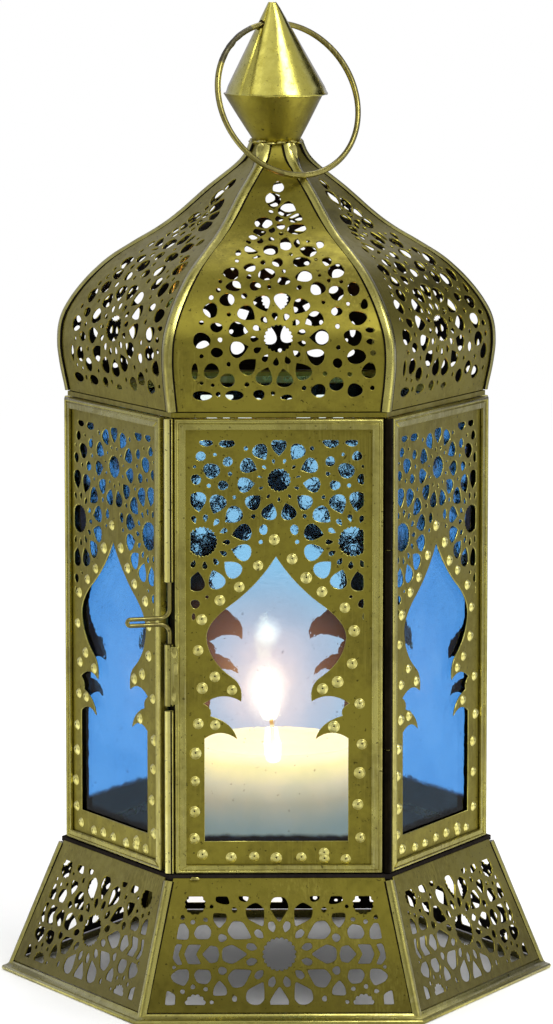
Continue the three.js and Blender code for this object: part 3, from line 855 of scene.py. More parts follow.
bosses = [  # aside and above the foot of the frame, as they were punched by hand
    (-1.4, 100.8), (3.9, 95.0), (8.1, 89.3), (12.8, 85.1), (19.6, 80.3), (22.4, 73.3), (21.8, 63.4),
    (17.5, 57.9), (13.0, 55.8), (24.1, 51.3), (16.4, 44.3), (24.8, 39.0), (24.1, 30.3), (23.6, 20.7),
    (24.4, 10.6), (-6.2, 93.0), (-11.8, 86.6), (-17.6, 82.6), (-23.0, 76.8), (-24.1, 67.5), (-19.1, 59.5),
    (-14.0, 55.5), (-22.9, 56.1), (-24.1, 45.3), (-19.0, 44.9), (-24.9, 36.3), (-25.1, 27.9),
    (-25.3, 18.6), (-25.4, 10.4), (-22.9, 5.5), (-14.3, 4.6), (-7.4, 4.9), (-0.8, 4.4), (6.7, 4.6),
    (13.5, 6.0), (13.6, 4.2), (20.0, 4.0),
]


def windowLoop():
    points = [(windowCurves[0][0][0], 0)]
    half = [points[0]]
    for (cx, cy), (ex, ey) in windowCurves:
        sx, sy = half[-1]
        steps = 1 if cx == ex == sx else 8
        for i in range(1, steps + 1):
            t = i / steps
            half.append(
                (
                    (1 - t) ** 2 * sx + 2 * t * (1 - t) * cx + t * t * ex,
                    (1 - t) ** 2 * sy + 2 * t * (1 - t) * cy + t * t * ey,
                )
            )
    whole = half + [(-x, y) for x, y in half[-2::-1]]
    part = wallSheet
    apex = half[-1][1]
    low, high = part["windowDrift"], part["apexDrift"]
    lean = [low + (high - low) * (y / apex) ** 4 for _, y in whole]
    return [(x + drift, y + part["sill"]) for (x, y), drift in zip(whole, lean)]


def wallHoles():
    chance = random.Random(wallSheet["seed"])
    crown = (0, wallSheet["crown"])
    window = windowLoop()
    stars = [placed(starHole(3.5, 18, 0.35), crown)]
    holes = ringOf(11, 90, dropHole(7.2, 12.4, 4.7), crown)
    small = ringOf(11, 90 + 360 / 22, dropHole(5.0, 6.5, 0.95, 8), crown)
    low, top = wallSheet["fieldLow"], wallSheet["fieldTop"]
    left, right = wallSheet["field"]
    field = [(left, low), (right, low), (right, top), (left, top)]
    for side, aside in zip((-1, 1), wallSheet["shoulders"]):
        centre = (aside, wallSheet["shoulderHeight"])
        start = 90 - side * 6
        stars.append(clipped(placed(starHole(4.5, 24, 0.4), centre), field))
        holes += ringOf(13, start, dropHole(9.0, 15.0, 5.2), centre)
        small += ringOf(13, start + 360 / 26, dropHole(5.9, 8.3, 1.6, 10), centre)
    for aside, above, width, height in crownPebbles:
        for side in (-1, 1):
            holes.append(pebbleHole((side * aside, crown[1] + above), width * 1.06, height * 1.06, chance))
    clear = [hole for hole in holes + small if not nearLoop(hole, window, 2.4)]
    return [window] + fitted(stars + clear, field, len(stars))


def nearLoop(loop, other, reach):  # does a hole come too near another, or lie inside it
    gaps = np.sqrt(((np.array(loop)[:, None] - np.array(other)[None]) ** 2).sum(2))
    x, y = np.array(loop).mean(0)
    inside = False
    for i, (bx, by) in enumerate(other):
        ax, ay = other[i - 1]
        if (ay > y) != (by > y) and x < (bx - ax) * (y - ay) / (by - ay) + ax:
            inside = not inside
    return inside or gaps.min() < reach


def makeBoss():
    radius, rise = wallSheet["bossRadius"], wallSheet["bossRise"]
    profile = [
        (radius * 1.2, -0.06),
        (radius * 1.0, 0.08),
        (radius * 0.88, rise * 0.55),
        (radius * 0.6, rise * 0.88),
        (radius * 0.27, rise),
        (radius * 0.18, rise * 0.96),
        (radius * 0.11, rise * 0.5),
    ]
    boss = raiseRing("boss", 12, roundSteps(profile), lid=True)
    paintWith(boss, "boss", "inner")
    for face in boss.data.polygons:  # the punch left a small pit above the middle, with painted shade in it
        face.material_index = 1 if math.hypot(face.center.x, face.center.y) < 0.2 * radius * mm else 0
    moveVertices(boss, lambda point: (point.x, point.y + 0.32 * (max(0, point.z) / rise) ** 2, point.z))
    selectOnly(boss)
    bpy.ops.object.shade_smooth()
    return boss


def drawWalls():
    part = wallSheet
    outline = [
        (-part["half"], part["foot"]), (part["half"], part["foot"]),
        (part["half"], part["top"]), (-part["half"], part["top"]),
    ]
    flatSheet = cutSheet("wallPattern", outline, wallHoles(), part["thickness"], 0.13)
    flatSheet.data.materials.append(finishes["edge"])
    for face in flatSheet.data.polygons:
        if 0.1 < face.normal.z < 0.95:
            face.material_index = 2  # bright along the cut edges: partly rubbed wear, partly a painted highlight
    boss = makeBoss()
    line = [(part["face"], 0), (part["face"], wallHigh.z)]
    for i, wall in enumerate(wallNames):
        chance = random.Random(part["seed"] + i)
        sheet = copyOf(flatSheet, "sheet")
        punched = []
        for aside, above in bosses:
            drift = 0 if i == 0 else 0.55
            place = (
                aside + chance.uniform(-drift, drift),
                wallLow.z + above + chance.uniform(-drift, drift),
                part["thickness"] / 2,
            )
            size = chance.uniform(0.9, 1.08)
            one = copyOf(boss, "punched")
            moveVertices(one, lambda point, place=place, size=size: Vector(place) + point * size)
            punched.append(one)
        bossed = joined("bossed", punched)
        sheet = joined(f"{wall}PiercedSheet", [sheet, bossed])
        foldOnto(sheet, line, -part["thickness"] / 2)
        fitWidth(sheet, wall)
        sheet.rotation_euler.z = i * turn
        applyPlace(sheet)
        settle(sheet, "door" if i == 0 else "root", f"{wall}_sheet")
    discard(flatSheet, boss)
    print("wall sheets pierced and punched")


drawWalls()

# Wall frames: folded strips with a rolled outer bead and lapped corners
wallFrame = {
    "half": wallHigh.x,
    "halfHeight": (wallHigh.z - wallLow.z) / 2,
    "face": -wallLow.y,
    "back": -wallHigh.y,
    "strip": 3.3,
    "rail": 2.3,
    "flange": 57.0,
    "flangeBack": 56.3,
    "beadRadius": 0.62,
    "lap": 0.26,  # how far the strip that laps over the corners stands up
    "lowStrip": 2.5,  # the lower strip is narrower
}


def frameSection():
    part = wallFrame
    radius = part["beadRadius"]
    centre = (radius, part["face"] - radius)
    section = [(0, part["back"]), (0, part["face"] - radius)]
    for angle in (150, 120, 90, 60, 30):
        across, up = radius * math.cos(angle * degree), radius * math.sin(angle * degree)
        section.append((centre[0] + across, centre[1] + up))
    section += [
        (2 * radius, part["flange"] - 0.12),
        (2 * radius + 0.2, part["flange"]),
        (part["strip"] - 0.12, part["flange"]),
        (part["strip"], part["flange"] - 0.12),
        (part["strip"], part["flangeBack"]),
        (part["rail"], part["flangeBack"]),
        (part["rail"], part["back"]),
    ]
    return [(part["half"] - inward, part["halfHeight"] - inward, out) for inward, out in section]


def cornerLaps():
    part = wallFrame
    laps = []
    low, high = 2 * part["beadRadius"] + 0.25, part["strip"] - 0.15
    for side in (-1, 1):
        reach = part["half"] - 0.2
        outline = [
            (-reach + low, part["halfHeight"] - low), (-reach + high + 0.6, part["halfHeight"] - high),
            (reach - high - 0.6, part["halfHeight"] - high), (reach - low, part["halfHeight"] - low),
        ]
        outline = softened([(u, side * s) for u, s in outline], 0.5)
        lap = cutSheet("lap", outline, [], part["lap"] * 2, 0.05)
        moveVertices(lap, lambda point: point + Vector((0, 0, part["flange"])))
        laps.append(lap)
    return laps


def foldFrames():
    part = wallFrame
    steps = [(x * math.sqrt(2), y * math.sqrt(2), out) for x, y, out in frameSection()]
    bead = raiseRing("frame", 4, steps + steps[:1], start=45 * degree, closed=True)
    paintWith(bead, "edge")
    smoothed(bead, 35)
    whole = joined("frame", [bead, *cornerLaps()])
    drawn, made = [0, part["strip"], part["strip"] + 1], [0, part["lowStrip"], part["strip"] + 1]

    def stand(point):
        height = part["halfHeight"] + point.y
        if height < part["strip"] + 1:
            height = np.interp(height, drawn, made)
        return (point.x, -point.z, wallLow.z + height)

    moveVertices(whole, stand)
    for i, wall in enumerate(wallNames):
        piece = copyOf(whole, f"{wall}FoldedFrame")
        fitWidth(piece, wall)
        piece.rotation_euler.z = i * turn
        applyPlace(piece)
        paintWith(piece, "edge", "edge")
        settle(piece, "door" if i == 0 else "root", f"{wall}_frame")
    discard(whole)
    print("frames folded")


foldFrames()

# Glass panes, slightly wavy
pane = {
    "half": glassHigh.x,
    "foot": glassLow.z,
    "top": glassHigh.z,
    "front": -glassLow.y,
    "back": -glassHigh.y,
    "wave": 0.07,
    "seed": 3.7,
}


def cutPanes():
    part = pane
    thickness = part["front"] - part["back"] - 2 * part["wave"]
    height = part["top"] - part["foot"]
    bpy.ops.object.select_all(action="DESELECT")
    bpy.ops.mesh.primitive_grid_add(x_subdivisions=16, y_subdivisions=40, size=1)
    glass = bpy.context.object
    glass.scale = (2 * part["half"] * mm, height * mm, 1)
    applyPlace(glass)
    applyModifier(glass, "SOLIDIFY", thickness=thickness * mm, offset=0)
    roundEdges(glass, 0.25, 1, 60)

    def wavy(point):
        swell = noise.noise(Vector((point.x / 14 + part["seed"], point.y / 18, math.copysign(2, point.z))))
        return point + Vector((0, 0, part["wave"] * swell))

    moveVertices(glass, wavy)
    smoothed(glass, 40)
    middle = (part["front"] + part["back"]) / 2
    moveVertices(glass, lambda point: (point.x, -middle - point.z, part["foot"] + height / 2 + point.y))
    for i, wall in enumerate(wallNames):
        piece = copyOf(glass, f"{wall}BluePane", i * turn)
        # the pane opposite the door carries the painted glow
        paintWith(piece, "litGlass" if i == faceCount // 2 else "glass")
        settle(piece, "door" if i == 0 else "root", f"{wall}_glass")
    discard(glass)
    print("panes cut")


cutPanes()

# Base: six sloping pierced panels
footHigh = nodeBox("foot_frame")[1]
base = {
    "footRadius": 82.5,  # corner radius of the skirt at its foot and at its top
    "topRadius": 67.0,
    "footHeight": 3.3,
    "topHeight": nodeBox("base_panel_1")[1].z,
    "thickness": 0.5,
    "seam": 1.7,  # panel's edge from the corner of the base
    "rise": 0.8,  # the panel's upper edge laps over the edge of the floor
    "roseDrop": 2.3,
    "margins": (6.2, 2.4, 4.7),  # side, low, top
    "seed": 11,
}
basePebbles = [  # a quarter of the pattern: aside, above, width, height
    (13.4, 13.3, 1.6, 1.8),
    (17.0, 4.9, 2.5, 2.5),
    (22.0, 10.4, 1.5, 1.3),
    (25.8, 9.7, 1.4, 1.5),
    (28.9, 11.1, 1.5, 1.4),
    (20.2, 14.3, 1.2, 1.2),
    (31.4, 3.9, 1.1, 1.2),
]
baseShapes = [  # a quarter of the pattern: corners of each hole
    [(15.6, 12.2), (19.9, 12.4), (19.6, 9.9), (17.9, 7.6), (15.8, 10.0)],
    [(20.2, 7.2), (21.6, 9.0), (24.4, 8.6), (25.6, 6.2), (24.6, 4.5), (20.8, 4.6)],
    [(27.1, 4.4), (26.9, 7.2), (28.4, 9.6), (31.6, 8.2), (32.6, 6.4), (30.4, 4.5)],
    [(14.6, 15.0), (15.6, 17.8), (18.6, 18.2), (19.2, 15.9), (17.0, 15.0)],
    [(9.3, 15.9), (9.0, 18.4), (12.0, 18.4), (12.2, 16.4), (10.6, 15.6)],
    [(31.0, 12.0), (33.6, 10.6), (34.2, 15.4), (31.2, 15.4)],
]
baseMiddle = [  # both sides, at the height of the rosette's centre
    [(18.5, 2.2), (20.6, 2.7), (23.1, 0), (20.6, -2.7), (18.5, -2.2), (17.9, 0)],
    [(23.3, 2.9), (27.2, 2.9), (28.4, 0), (27.2, -2.9), (23.3, -2.9), (24.9, 0)],
    [(28.9, 3.0), (30.6, 3.2), (31.8, 1.2), (31.8, -1.2), (30.6, -3.2), (28.9, -3.0), (30.2, 0)],
]


def baseLine():
    return [(base["footRadius"] * flat, base["footHeight"]), (base["topRadius"] * flat, base["topHeight"])]


def drawBase():
    part = base
    chance = random.Random(part["seed"])
    (w0, z0), (w1, z1) = baseLine()
    length = math.hypot(w1 - w0, z1 - z0)
    side, low, top = part["margins"]
    centre = (0, length / 2 - part["roseDrop"])

    def halfAt(s):
        return (part["footRadius"] + (part["topRadius"] - part["footRadius"]) * s / length) / 2

    holes = [placed(starHole(5.1, 20, 0.5), centre)]
    holes += ringOf(12, 90, shieldHole(9.3, 17.1, 6.1), centre)
    wedge = softened([(6.6, 0), (8.2, -1.2), (10.1, -0.8), (10.1, 0.8), (8.2, 1.2)], 0.6)
    holes += ringOf(12, 75, wedge, centre)
    for way in (-1, 1):
        for shape in baseMiddle:
            holes.append(softened([(way * u, centre[1] + v) for u, v in shape], 0.5))
        for up in (-1, 1):
            corner = (way * 25.1, centre[1] + up * 15.0)
            holes.append(placed(starHole(3.2, 12, 0.45), corner))
            for shape in baseShapes:
                holes.append(softened([(way * u, centre[1] + up * v) for u, v in shape], 0.8))
            for aside, above, width, height in basePebbles:
                holes.append(pebbleHole((way * aside, centre[1] + up * above), width, height, chance))
    field = [
        (-halfAt(low) + side, low), (halfAt(low) - side, low),
        (halfAt(length - top) - side, length - top), (-halfAt(length - top) + side, length - top),
    ]
    holes = fitted(holes, field, 1, web=0.8)
    high = length + part["rise"]
    outline = [
        (-halfAt(0) + part["seam"], 0), (halfAt(0) - part["seam"], 0),
        (halfAt(high) - part["seam"], high), (-halfAt(high) + part["seam"], high),
    ]
    sheet = cutSheet("basePattern", outline, holes, part["thickness"], 0.12)
    smoothed(sheet, 25)
    foldOnto(sheet, baseLine(), -part["thickness"] / 2)
    for i in range(faceCount):
        piece = copyOf(sheet, f"basePierced{i + 1}", i * turn)
        settle(piece, "root", f"base_panel_{i + 1}")
    discard(sheet)
    print("base panels pierced")


drawBase()

# Foot with its rolled edge, and the folded seams on the corners of the base
foot = {
    "radius": footHigh.x,
    "roll": 0.75,
    "top": 3.0,
    "seamHalf": 1.9,
    "seamRise": 0.5,
    "seamFall": 0.98,
    "seamSheet": 0.5,
}


def seamStrip(name, half, length, rise, fall, thickness, rows, columns=10):
    # a strip with a rounded crest and low flanges on both sides, drawn flat
    bpy.ops.object.select_all(action="DESELECT")
    bpy.ops.mesh.primitive_grid_add(x_subdivisions=columns, y_subdivisions=rows, size=1)
    strip = bpy.context.object
    strip.name = name
    strip.scale = (2 * half * mm, length * mm, 1)
    strip.location = (0, length * mm / 2, 0)
    applyPlace(strip)
    chance = noise.noise

    def crest(point):
        share = abs(point.x) / half
        dent = 0.06 * chance(Vector((point.x / 2, point.y / 5, half)))
        return (point.x, point.y, rise - (rise + fall) * share**1.6 + dent)

    moveVertices(strip, crest)
    applyModifier(strip, "SOLIDIFY", thickness=thickness * mm, offset=-1)
    cleanUp(strip)
    smoothed(strip, 50)
    paintWith(strip, "edge", "inner")
    for face in strip.data.polygons:  # painted shade along both edges, where the strip meets the panels
        face.material_index = 1 if abs(face.center.x) > (half - 0.3) * mm else 0
    return strip


def shapeFoot():
    part = foot
    roll = part["roll"]
    middle = part["radius"] - roll
    profile = [(middle - 1.2, 0), (middle, 0)]
    for angle in (-60, -30, 0, 30, 60, 90):
        profile.append((middle + roll * math.cos(angle * degree), roll + roll * math.sin(angle * degree)))
    profile += [
        (middle - 0.5, 2 * roll),
        (base["footRadius"] + 0.5, part["top"] - 0.5),
        (base["footRadius"] + 0.3, part["top"]),
        (base["footRadius"] - 1.4, part["top"]),
        (middle - 2.4, 1.5 * roll),
    ]
    rim = turnedPiece("rim", profile, faceCount, turn / 2)
    roundEdges(rim, 0.12, 1, 40)
    smoothed(rim, 40)
    paintWith(rim, "edge")
    (w0, z0), (w1, z1) = baseLine()
    corner = [(w0 / flat + 0.45, z0 - 1.6), (w1 / flat, z1)]
    length = math.hypot(corner[1][0] - corner[0][0], corner[1][1] - corner[0][1])
    strip = seamStrip(
        "seam", part["seamHalf"], length, part["seamRise"], part["seamFall"], part["seamSheet"], 24
    )
    foldOnto(strip, corner)
    seams = [copyOf(strip, "seam", turn / 2 + i * turn) for i in range(faceCount)]
    discard(strip)
    whole = joined("rolledFoot", [rim, *seams])
    settle(whole, "root", "foot_frame")
    print("foot rolled")


shapeFoot()

# Dome
dome = {
    "profile": [
        (64.3, 0), (66.7, 15), (64, 26.2), (52.4, 39.5), (33.5, 51.5), (21, 62.1), (10.9, 70.4), (7.8, 75.9),
    ],
    "foot": nodeBox("dome_panel_1")[0].z,
    "thickness": 0.5,
    "seam": 1.9,  # panel's edge from the middle of the rib
    "field": (-26.4, 28.8, 3.4),
    "rose": (-0.2, 22.3),
    "ribHalf": 2.1,
    "ribRise": 0.5,
    "ribFall": 0.8,
    "ribSheet": 0.6,
    "ribTab": (8, 1.18),  # length and widening of the rib's upper end
    "seed": 21,
}
domePebbles = [  # sideways, along the panel from its foot, width, height
    (0.3, 81.2, 2.9, 3.4), (-1.2, 76, 4.2, 4.4), (2.8, 72.4, 4.6, 4.4), (-2.0, 71.4, 1.3, 1.3),
    (5.4, 68.9, 3.8, 2.8), (0.4, 68.7, 2.1, 1.7), (-4.2, 66.9, 4.9, 3.4), (0.9, 65.7, 2.2, 1.8),
    (5.7, 64.6, 5.0, 3.4), (-1.8, 64.2, 1.7, 2.0), (-5.5, 63.2, 3.3, 2.6), (-7.3, 61.0, 2.8, 1.7),
    (1.0, 62.6, 1.4, 1.2), (-8.8, 58.8, 1.4, 1.5), (-5.3, 59.3, 1.6, 1.9), (-2.0, 60.1, 1.5, 1.5),
    (2.2, 57.8, 3.6, 4.0), (5.6, 58.0, 1.7, 2.8), (12.4, 57.4, 2.3, 2.4), (9.0, 59.0, 0.9, 0.9),
    (-7.9, 55.2, 3.8, 3.5), (-2.0, 54.9, 4.4, 3.8), (9.1, 54.4, 4.4, 3.6), (3.8, 52.9, 1.0, 1.0),
    (-11.9, 53.7, 1.4, 2.2), (-7.6, 51.9, 4.2, 1.3), (-12.3, 50.0, 1.1, 1.3), (-4.6, 49.2, 1.4, 1.5),
    (-0.2, 49.2, 3.0, 2.8), (6.9, 49.4, 4.6, 3.6), (11.2, 50.4, 0.9, 0.9), (14.5, 49.6, 2.5, 3.0),
    (-8.5, 47.0, 3.4, 2.6), (1.6, 45.5, 1.1, 1.3), (17.1, 45.6, 4.4, 4.8), (-14.0, 44.6, 4.4, 3.8),
    (-3.5, 44.3, 4.6, 4.0), (7.6, 43.4, 4.7, 3.5), (-8.8, 43.2, 1.4, 1.6), (12.2, 43.7, 1.0, 1.0),
    (1.5, 41.6, 3.3, 2.8), (-17.3, 41.4, 1.1, 1.3), (14.9, 41.7, 1.1, 1.3), (18.6, 41.3, 1.1, 1.3),
    (-13.3, 39.7, 4.4, 3.2), (-7.0, 39.7, 3.0, 3.0), (-2.8, 39.4, 1.2, 1.4), (6.1, 39.2, 1.6, 1.6),
    (-17.9, 38.2, 1.4, 1.6), (11.6, 38.8, 4.1, 4.2), (17.1, 37.2, 4.1, 4.6), (22.2, 38.6, 3.3, 4.4),
    (-20.0, 35.6, 1.4, 1.6), (-15.3, 34.8, 4.4, 3.8), (-10.2, 36.2, 1.6, 1.8), (13.2, 33.9, 1.1, 1.3),
    (20.5, 33.4, 1.1, 1.3), (25.3, 33.2, 2.0, 3.2), (-20.2, 31.3, 4.2, 4.4), (17.1, 30.8, 3.1, 2.8),
    (23.3, 28.7, 5.0, 4.4), (-14.8, 29.8, 1.2, 1.3), (-22.9, 27.2, 1.4, 1.4), (-18.5, 25.7, 3.4, 3.0),
    (17.3, 26.0, 1.4, 1.5), (26.9, 24.8, 2.6, 1.5), (21.9, 22.6, 5.2, 4.6), (-22.9, 21.7, 4.8, 4.8),
    (-17.4, 21.9, 1.4, 1.4), (27.0, 21.3, 2.4, 1.6), (17.5, 19.6, 1.4, 1.4), (-18.4, 18.1, 3.4, 2.9),
    (22.9, 16.8, 5.2, 4.4), (27.8, 17.9, 1.6, 1.7), (-22.9, 17.0, 1.2, 1.3), (17.3, 14.9, 2.8, 2.8),
    (-14.9, 14.6, 1.3, 1.4), (-24.9, 12.4, 1.9, 4.6), (-20.0, 12.5, 4.2, 4.6), (26.6, 12.6, 4.2, 4.4),
    (-15.2, 9.7, 4.4, 3.9), (13.6, 11.7, 1.4, 1.4), (20.9, 11.5, 1.4, 1.4), (-22.9, 8.9, 1.1, 1.2),
    (-19.6, 8.2, 1.1, 1.2), (-9.5, 8.4, 1.4, 1.4), (7.4, 7.3, 1.4, 1.4), (17.0, 8.5, 4.2, 3.9),
    (27.6, 7.3, 1.4, 1.4), (-22.7, 5.0, 5.4, 2.9), (-18.0, 5.4, 1.5, 1.5), (-13.2, 5.1, 5.0, 3.0),
    (-5.9, 5.3, 3.4, 2.8), (-1.8, 5.7, 1.3, 1.3), (2.3, 4.5, 3.4, 1.5), (11.7, 6.5, 4.4, 3.8),
    (22.4, 6.6, 4.2, 4.2), (24.1, 2.4, 1.3, 0.9),
]


def curveThrough(points, steps):  # a smooth curve through points, as a list of points
    found = []
    last = len(points) - 1
    for i in range(last):
        four = [Vector(points[max(0, min(last, k))]) for k in (i - 1, i, i + 1, i + 2)]
        for j in range(steps):
            t = j / steps
            lead, tail = (four[2] - four[0]) / 2, (four[3] - four[1]) / 2
            found.append(
                (2 * four[1] - 2 * four[2] + lead + tail) * t**3
                + (3 * four[2] - 3 * four[1] - 2 * lead - tail) * t**2
                + lead * t
                + four[1]
            )
    return [tuple(point) for point in found] + [tuple(points[-1])]


def domeLine(share):  # share is 1 on the corners and less on the faces
    return [(radius * share, dome["foot"] + height) for radius, height in curveThrough(dome["profile"], 14)]


def lineLength(line):
    return sum(math.dist(line[i], line[i + 1]) for i in range(len(line) - 1))


def drawDome():
    part = dome
    chance = random.Random(part["seed"])
    line = domeLine(flat)
    length = lineLength(line)
    along = np.cumsum([0] + [math.dist(line[i], line[i + 1]) for i in range(len(line) - 1)])
    widths = np.array([w for w, _ in line]) * math.tan(turn / 2)
    rose = part["rose"]
    holes = [placed(starHole(4.3, 20, 0.45), rose)]
    holes += ringOf(13, 84.5, dropHole(9.1, 14.9, 5.1), rose)
    holes += ringOf(13, 84.5 + 360 / 26, dropHole(5.7, 8.3, 1.9, 10), rose)
    for u, s, width, height in domePebbles:
        steep = min(1, max(0, (s - 28) / 30))  # higher up the sheet leans away and its holes look shorter
        holes.append(pebbleHole((u, s), width * (1.06 + 0.1 * steep), height * (1.08 + 0.4 * steep), chance))
    left, right, low = part["field"]
    field = [(left, low), (right, low), (right, length), (left, length)]
    holes = fitted(holes, field, 1, web=0.65)
    outline = []
    stations = np.linspace(0, length, 33)
    for s in stations:
        outline.append((float(np.interp(s, along, widths)) - part["seam"], float(s)))
    outline = outline + [(-u, s) for u, s in outline[::-1]]
    sheet = cutSheet("domePattern", outline, holes, part["thickness"], 0.11)
    creaseAcross(sheet, stations[1:-1])
    foldOnto(sheet, line, -part["thickness"] / 2)
    smoothed(sheet, 25)
    for i in range(faceCount):
        piece = copyOf(sheet, f"domePierced{i + 1}", i * turn)
        settle(piece, "root", f"dome_panel_{i + 1}")
    discard(sheet)
    ribLength = lineLength(domeLine(1))
    section = part["ribRise"], part["ribFall"], part["ribSheet"]
    rib = seamStrip("rib", part["ribHalf"], ribLength, *section, 90)
    tab, spread = part["ribTab"]

    def pressed(point):  # hammered wide where it is soldered to the neck
        share = min(1, max(0, (point.y - ribLength + tab) / 3))
        return (point.x * (1 + (spread - 1) * share), point.y, point.z)

    moveVertices(rib, pressed)
    foldOnto(rib, domeLine(1))
    for i in range(faceCount):
        piece = copyOf(rib, f"domeSeam{i + 1}", turn / 2 + i * turn)
        settle(piece, "root", f"dome_rib_{i + 1}")
    discard(rib)
    print("dome pierced and ribbed")


drawDome()

# Hems: strips folded inwards behind the foot of the dome and behind the top of the base
hems = [  # name, corner radii, heights
    ("domeHem", (62.9, 63.4), (nodeBox("top_plate")[1].z + 0.02, dome["foot"] + 1.6)),
    ("skirtHem", (65.4, 66.1), (nodeBox("floor_plate")[0].z - 1.4, nodeBox("floor_plate")[0].z - 0.02)),
]


def foldHems():
    for name, (inner, outer), (low, high) in hems:
        profile = [(inner, low), (outer, low), (outer, high), (inner, high)]
        hem = turnedPiece(name, profile, faceCount, turn / 2)
        roundEdges(hem, 0.08, 1)
        # near black, as painted shade in the gaps above and below the walls
        paintWith(hem, "inner")
        settle(hem, "root")
    print("hems folded")


foldHems()

# Finial: two sheet cones with a crimped lip between them
finialLow, finialHigh = nodeBox("finial_upper_cone")
coneLow, coneHigh = nodeBox("finial_lower_cone")
finial = {
    "rim": finialHigh.x,
    "rimHeight": 0.8,
    "tipRadius": 1.3,
    "wall": 0.8,
    "coneTop": coneHigh.x + 0.8,
    "coneFoot": 6.9,
    "coneAside": -0.9,
    "seamHeading": -137,  # degrees, seen from above
    "overlap": 0.5,
    "lean": 1.2,  # the tip stands this far to the left of the lantern's middle
    "lip": 0.34,  # radius of the rolled edge between the cones
    "ringHole": 1.55,
}


def overlapSeam(point, heading, amount):  # the sheet's end lies over its start, with a step at the seam
    radius = math.hypot(point.x, point.y)
    angle = (math.atan2(point.y, point.x) - heading * degree) % (2 * math.pi)
    lift = amount * max(0, 1 - angle / (80 * degree)) * min(1, radius / 4)
    share = (radius - lift) / radius if radius > 0.1 else 1
    return (point.x * share, point.y * share, point.z)


def leaning(point):  # the spire was soldered on a little aslant
    share = (point.z - finialLow.z) / (finialHigh.z - finialLow.z)
    return (point.x - finial["lean"] * max(0, share), point.y, point.z)


def shapeFinial():
    part = finial
    low, tip = finialLow.z, finialHigh.z
    rimTop = low + part["rimHeight"]
    rows = [(part["rim"] + (part["tipRadius"] - part["rim"]) * t, rimTop + (tip - rimTop) * t)
            for t in np.linspace(0, 1, 16)]
    lip = part["lip"]
    edge = [(part["rim"] - lip + lip * math.cos(angle * degree), low + lip + lip * math.sin(angle * degree))
            for angle in range(-90, 80, 30)]
    profile = [*edge, (part["rim"] - lip * 0.9, rimTop), *rows[1:], (part["tipRadius"] - 0.5, tip - 0.4)]
    profile += [(max(radius - 0.95, 0.35), height - 0.2) for radius, height in rows[::-1][1:-1]]
    profile += [(part["rim"] - 0.9, rimTop), (part["rim"] - 0.9, low + 0.1)]
    upper = turnedPiece("upper", profile, 180)

    def worn(point):
        x, y, z = overlapSeam(point, part["seamHeading"], part["overlap"])
        near = 1 - min(1, abs(z - low - 0.3) / 1.2)
        wobble = noise.noise(Vector((x / 3.2, y / 3.2, 5))) * 0.28 * near
        split = 0.45 * noise.noise(Vector((x * 1.1, y * 1.1, 9))) if z > tip - 0.6 else 0
        return (x, y, min(tip, z + wobble - abs(split)))

    moveVertices(upper, worn)
    bpy.ops.object.select_all(action="DESELECT")
    bpy.ops.mesh.primitive_cylinder_add(
        vertices=32, radius=part["ringHole"] * mm, depth=2 * part["rim"] * mm
    )
    drill = bpy.context.object
    joint = next(joint for joint in frame["joints"] if joint["name"] == "ring_swing")
    heading = Vector(joint["axis"]).to_track_quat("Z", "Y")
    drill.matrix_world = Matrix.Translation(joint["pos_m"]) @ heading.to_matrix().to_4x4()
    bpy.context.view_layer.update()
    applyModifier(upper, "BOOLEAN", operation="DIFFERENCE", object=drill, solver="EXACT")
    discard(drill)
    moveVertices(upper, leaning)
    smoothed(upper, 32)
    paintWith(upper, "polished", "inner")
    # painted shade along the step of the seam
    for face in upper.data.polygons:
        angle = math.atan2(face.center.y, face.center.x) - part["seamHeading"] * degree
        steep = abs(face.normal.z) < 0.2 and face.center.z > (low + 1.2) * mm
        face.material_index = 1 if steep and abs(angle) < 2.5 * degree else 0
    upper.name = "finialSpire"
    settle(upper, "root", "finial_upper_cone")

    rows = [(part["coneFoot"] + (part["coneTop"] - part["coneFoot"]) * t,
             coneLow.z + (coneHigh.z - coneLow.z) * t) for t in np.linspace(0, 1, 10)]
    profile = rows + [(radius - part["wall"], height) for radius, height in rows[::-1]]
    lower = turnedPiece("finialCup", profile, 96)

    def dented(point):
        swell = 1 + 0.012 * noise.noise(Vector((point.x / 6, point.y / 6, point.z / 9)))
        aside = part["coneAside"] * (point.z - coneLow.z) / (coneHigh.z - coneLow.z)
        return (point.x * swell + aside, point.y * swell, point.z)

    moveVertices(lower, dented)
    smoothed(lower, 35)
    paintWith(lower, "sheet")
    settle(lower, "root", "finial_lower_cone")
    print("finial shaped")


shapeFinial()

# Carrying ring: a bent wire, soldered where its ends meet
ringNode = frame["nodes"]["carry_ring"]
carryRing = {"radius": 24.2, "wire": 0.95, "joinHeading": 50, "joinSpan": 20, "drift": 0.8}


def awayFromJoin(angle):  # degrees along the ring
    return abs((angle / degree + carryRing["joinHeading"]) % 360 - 180)


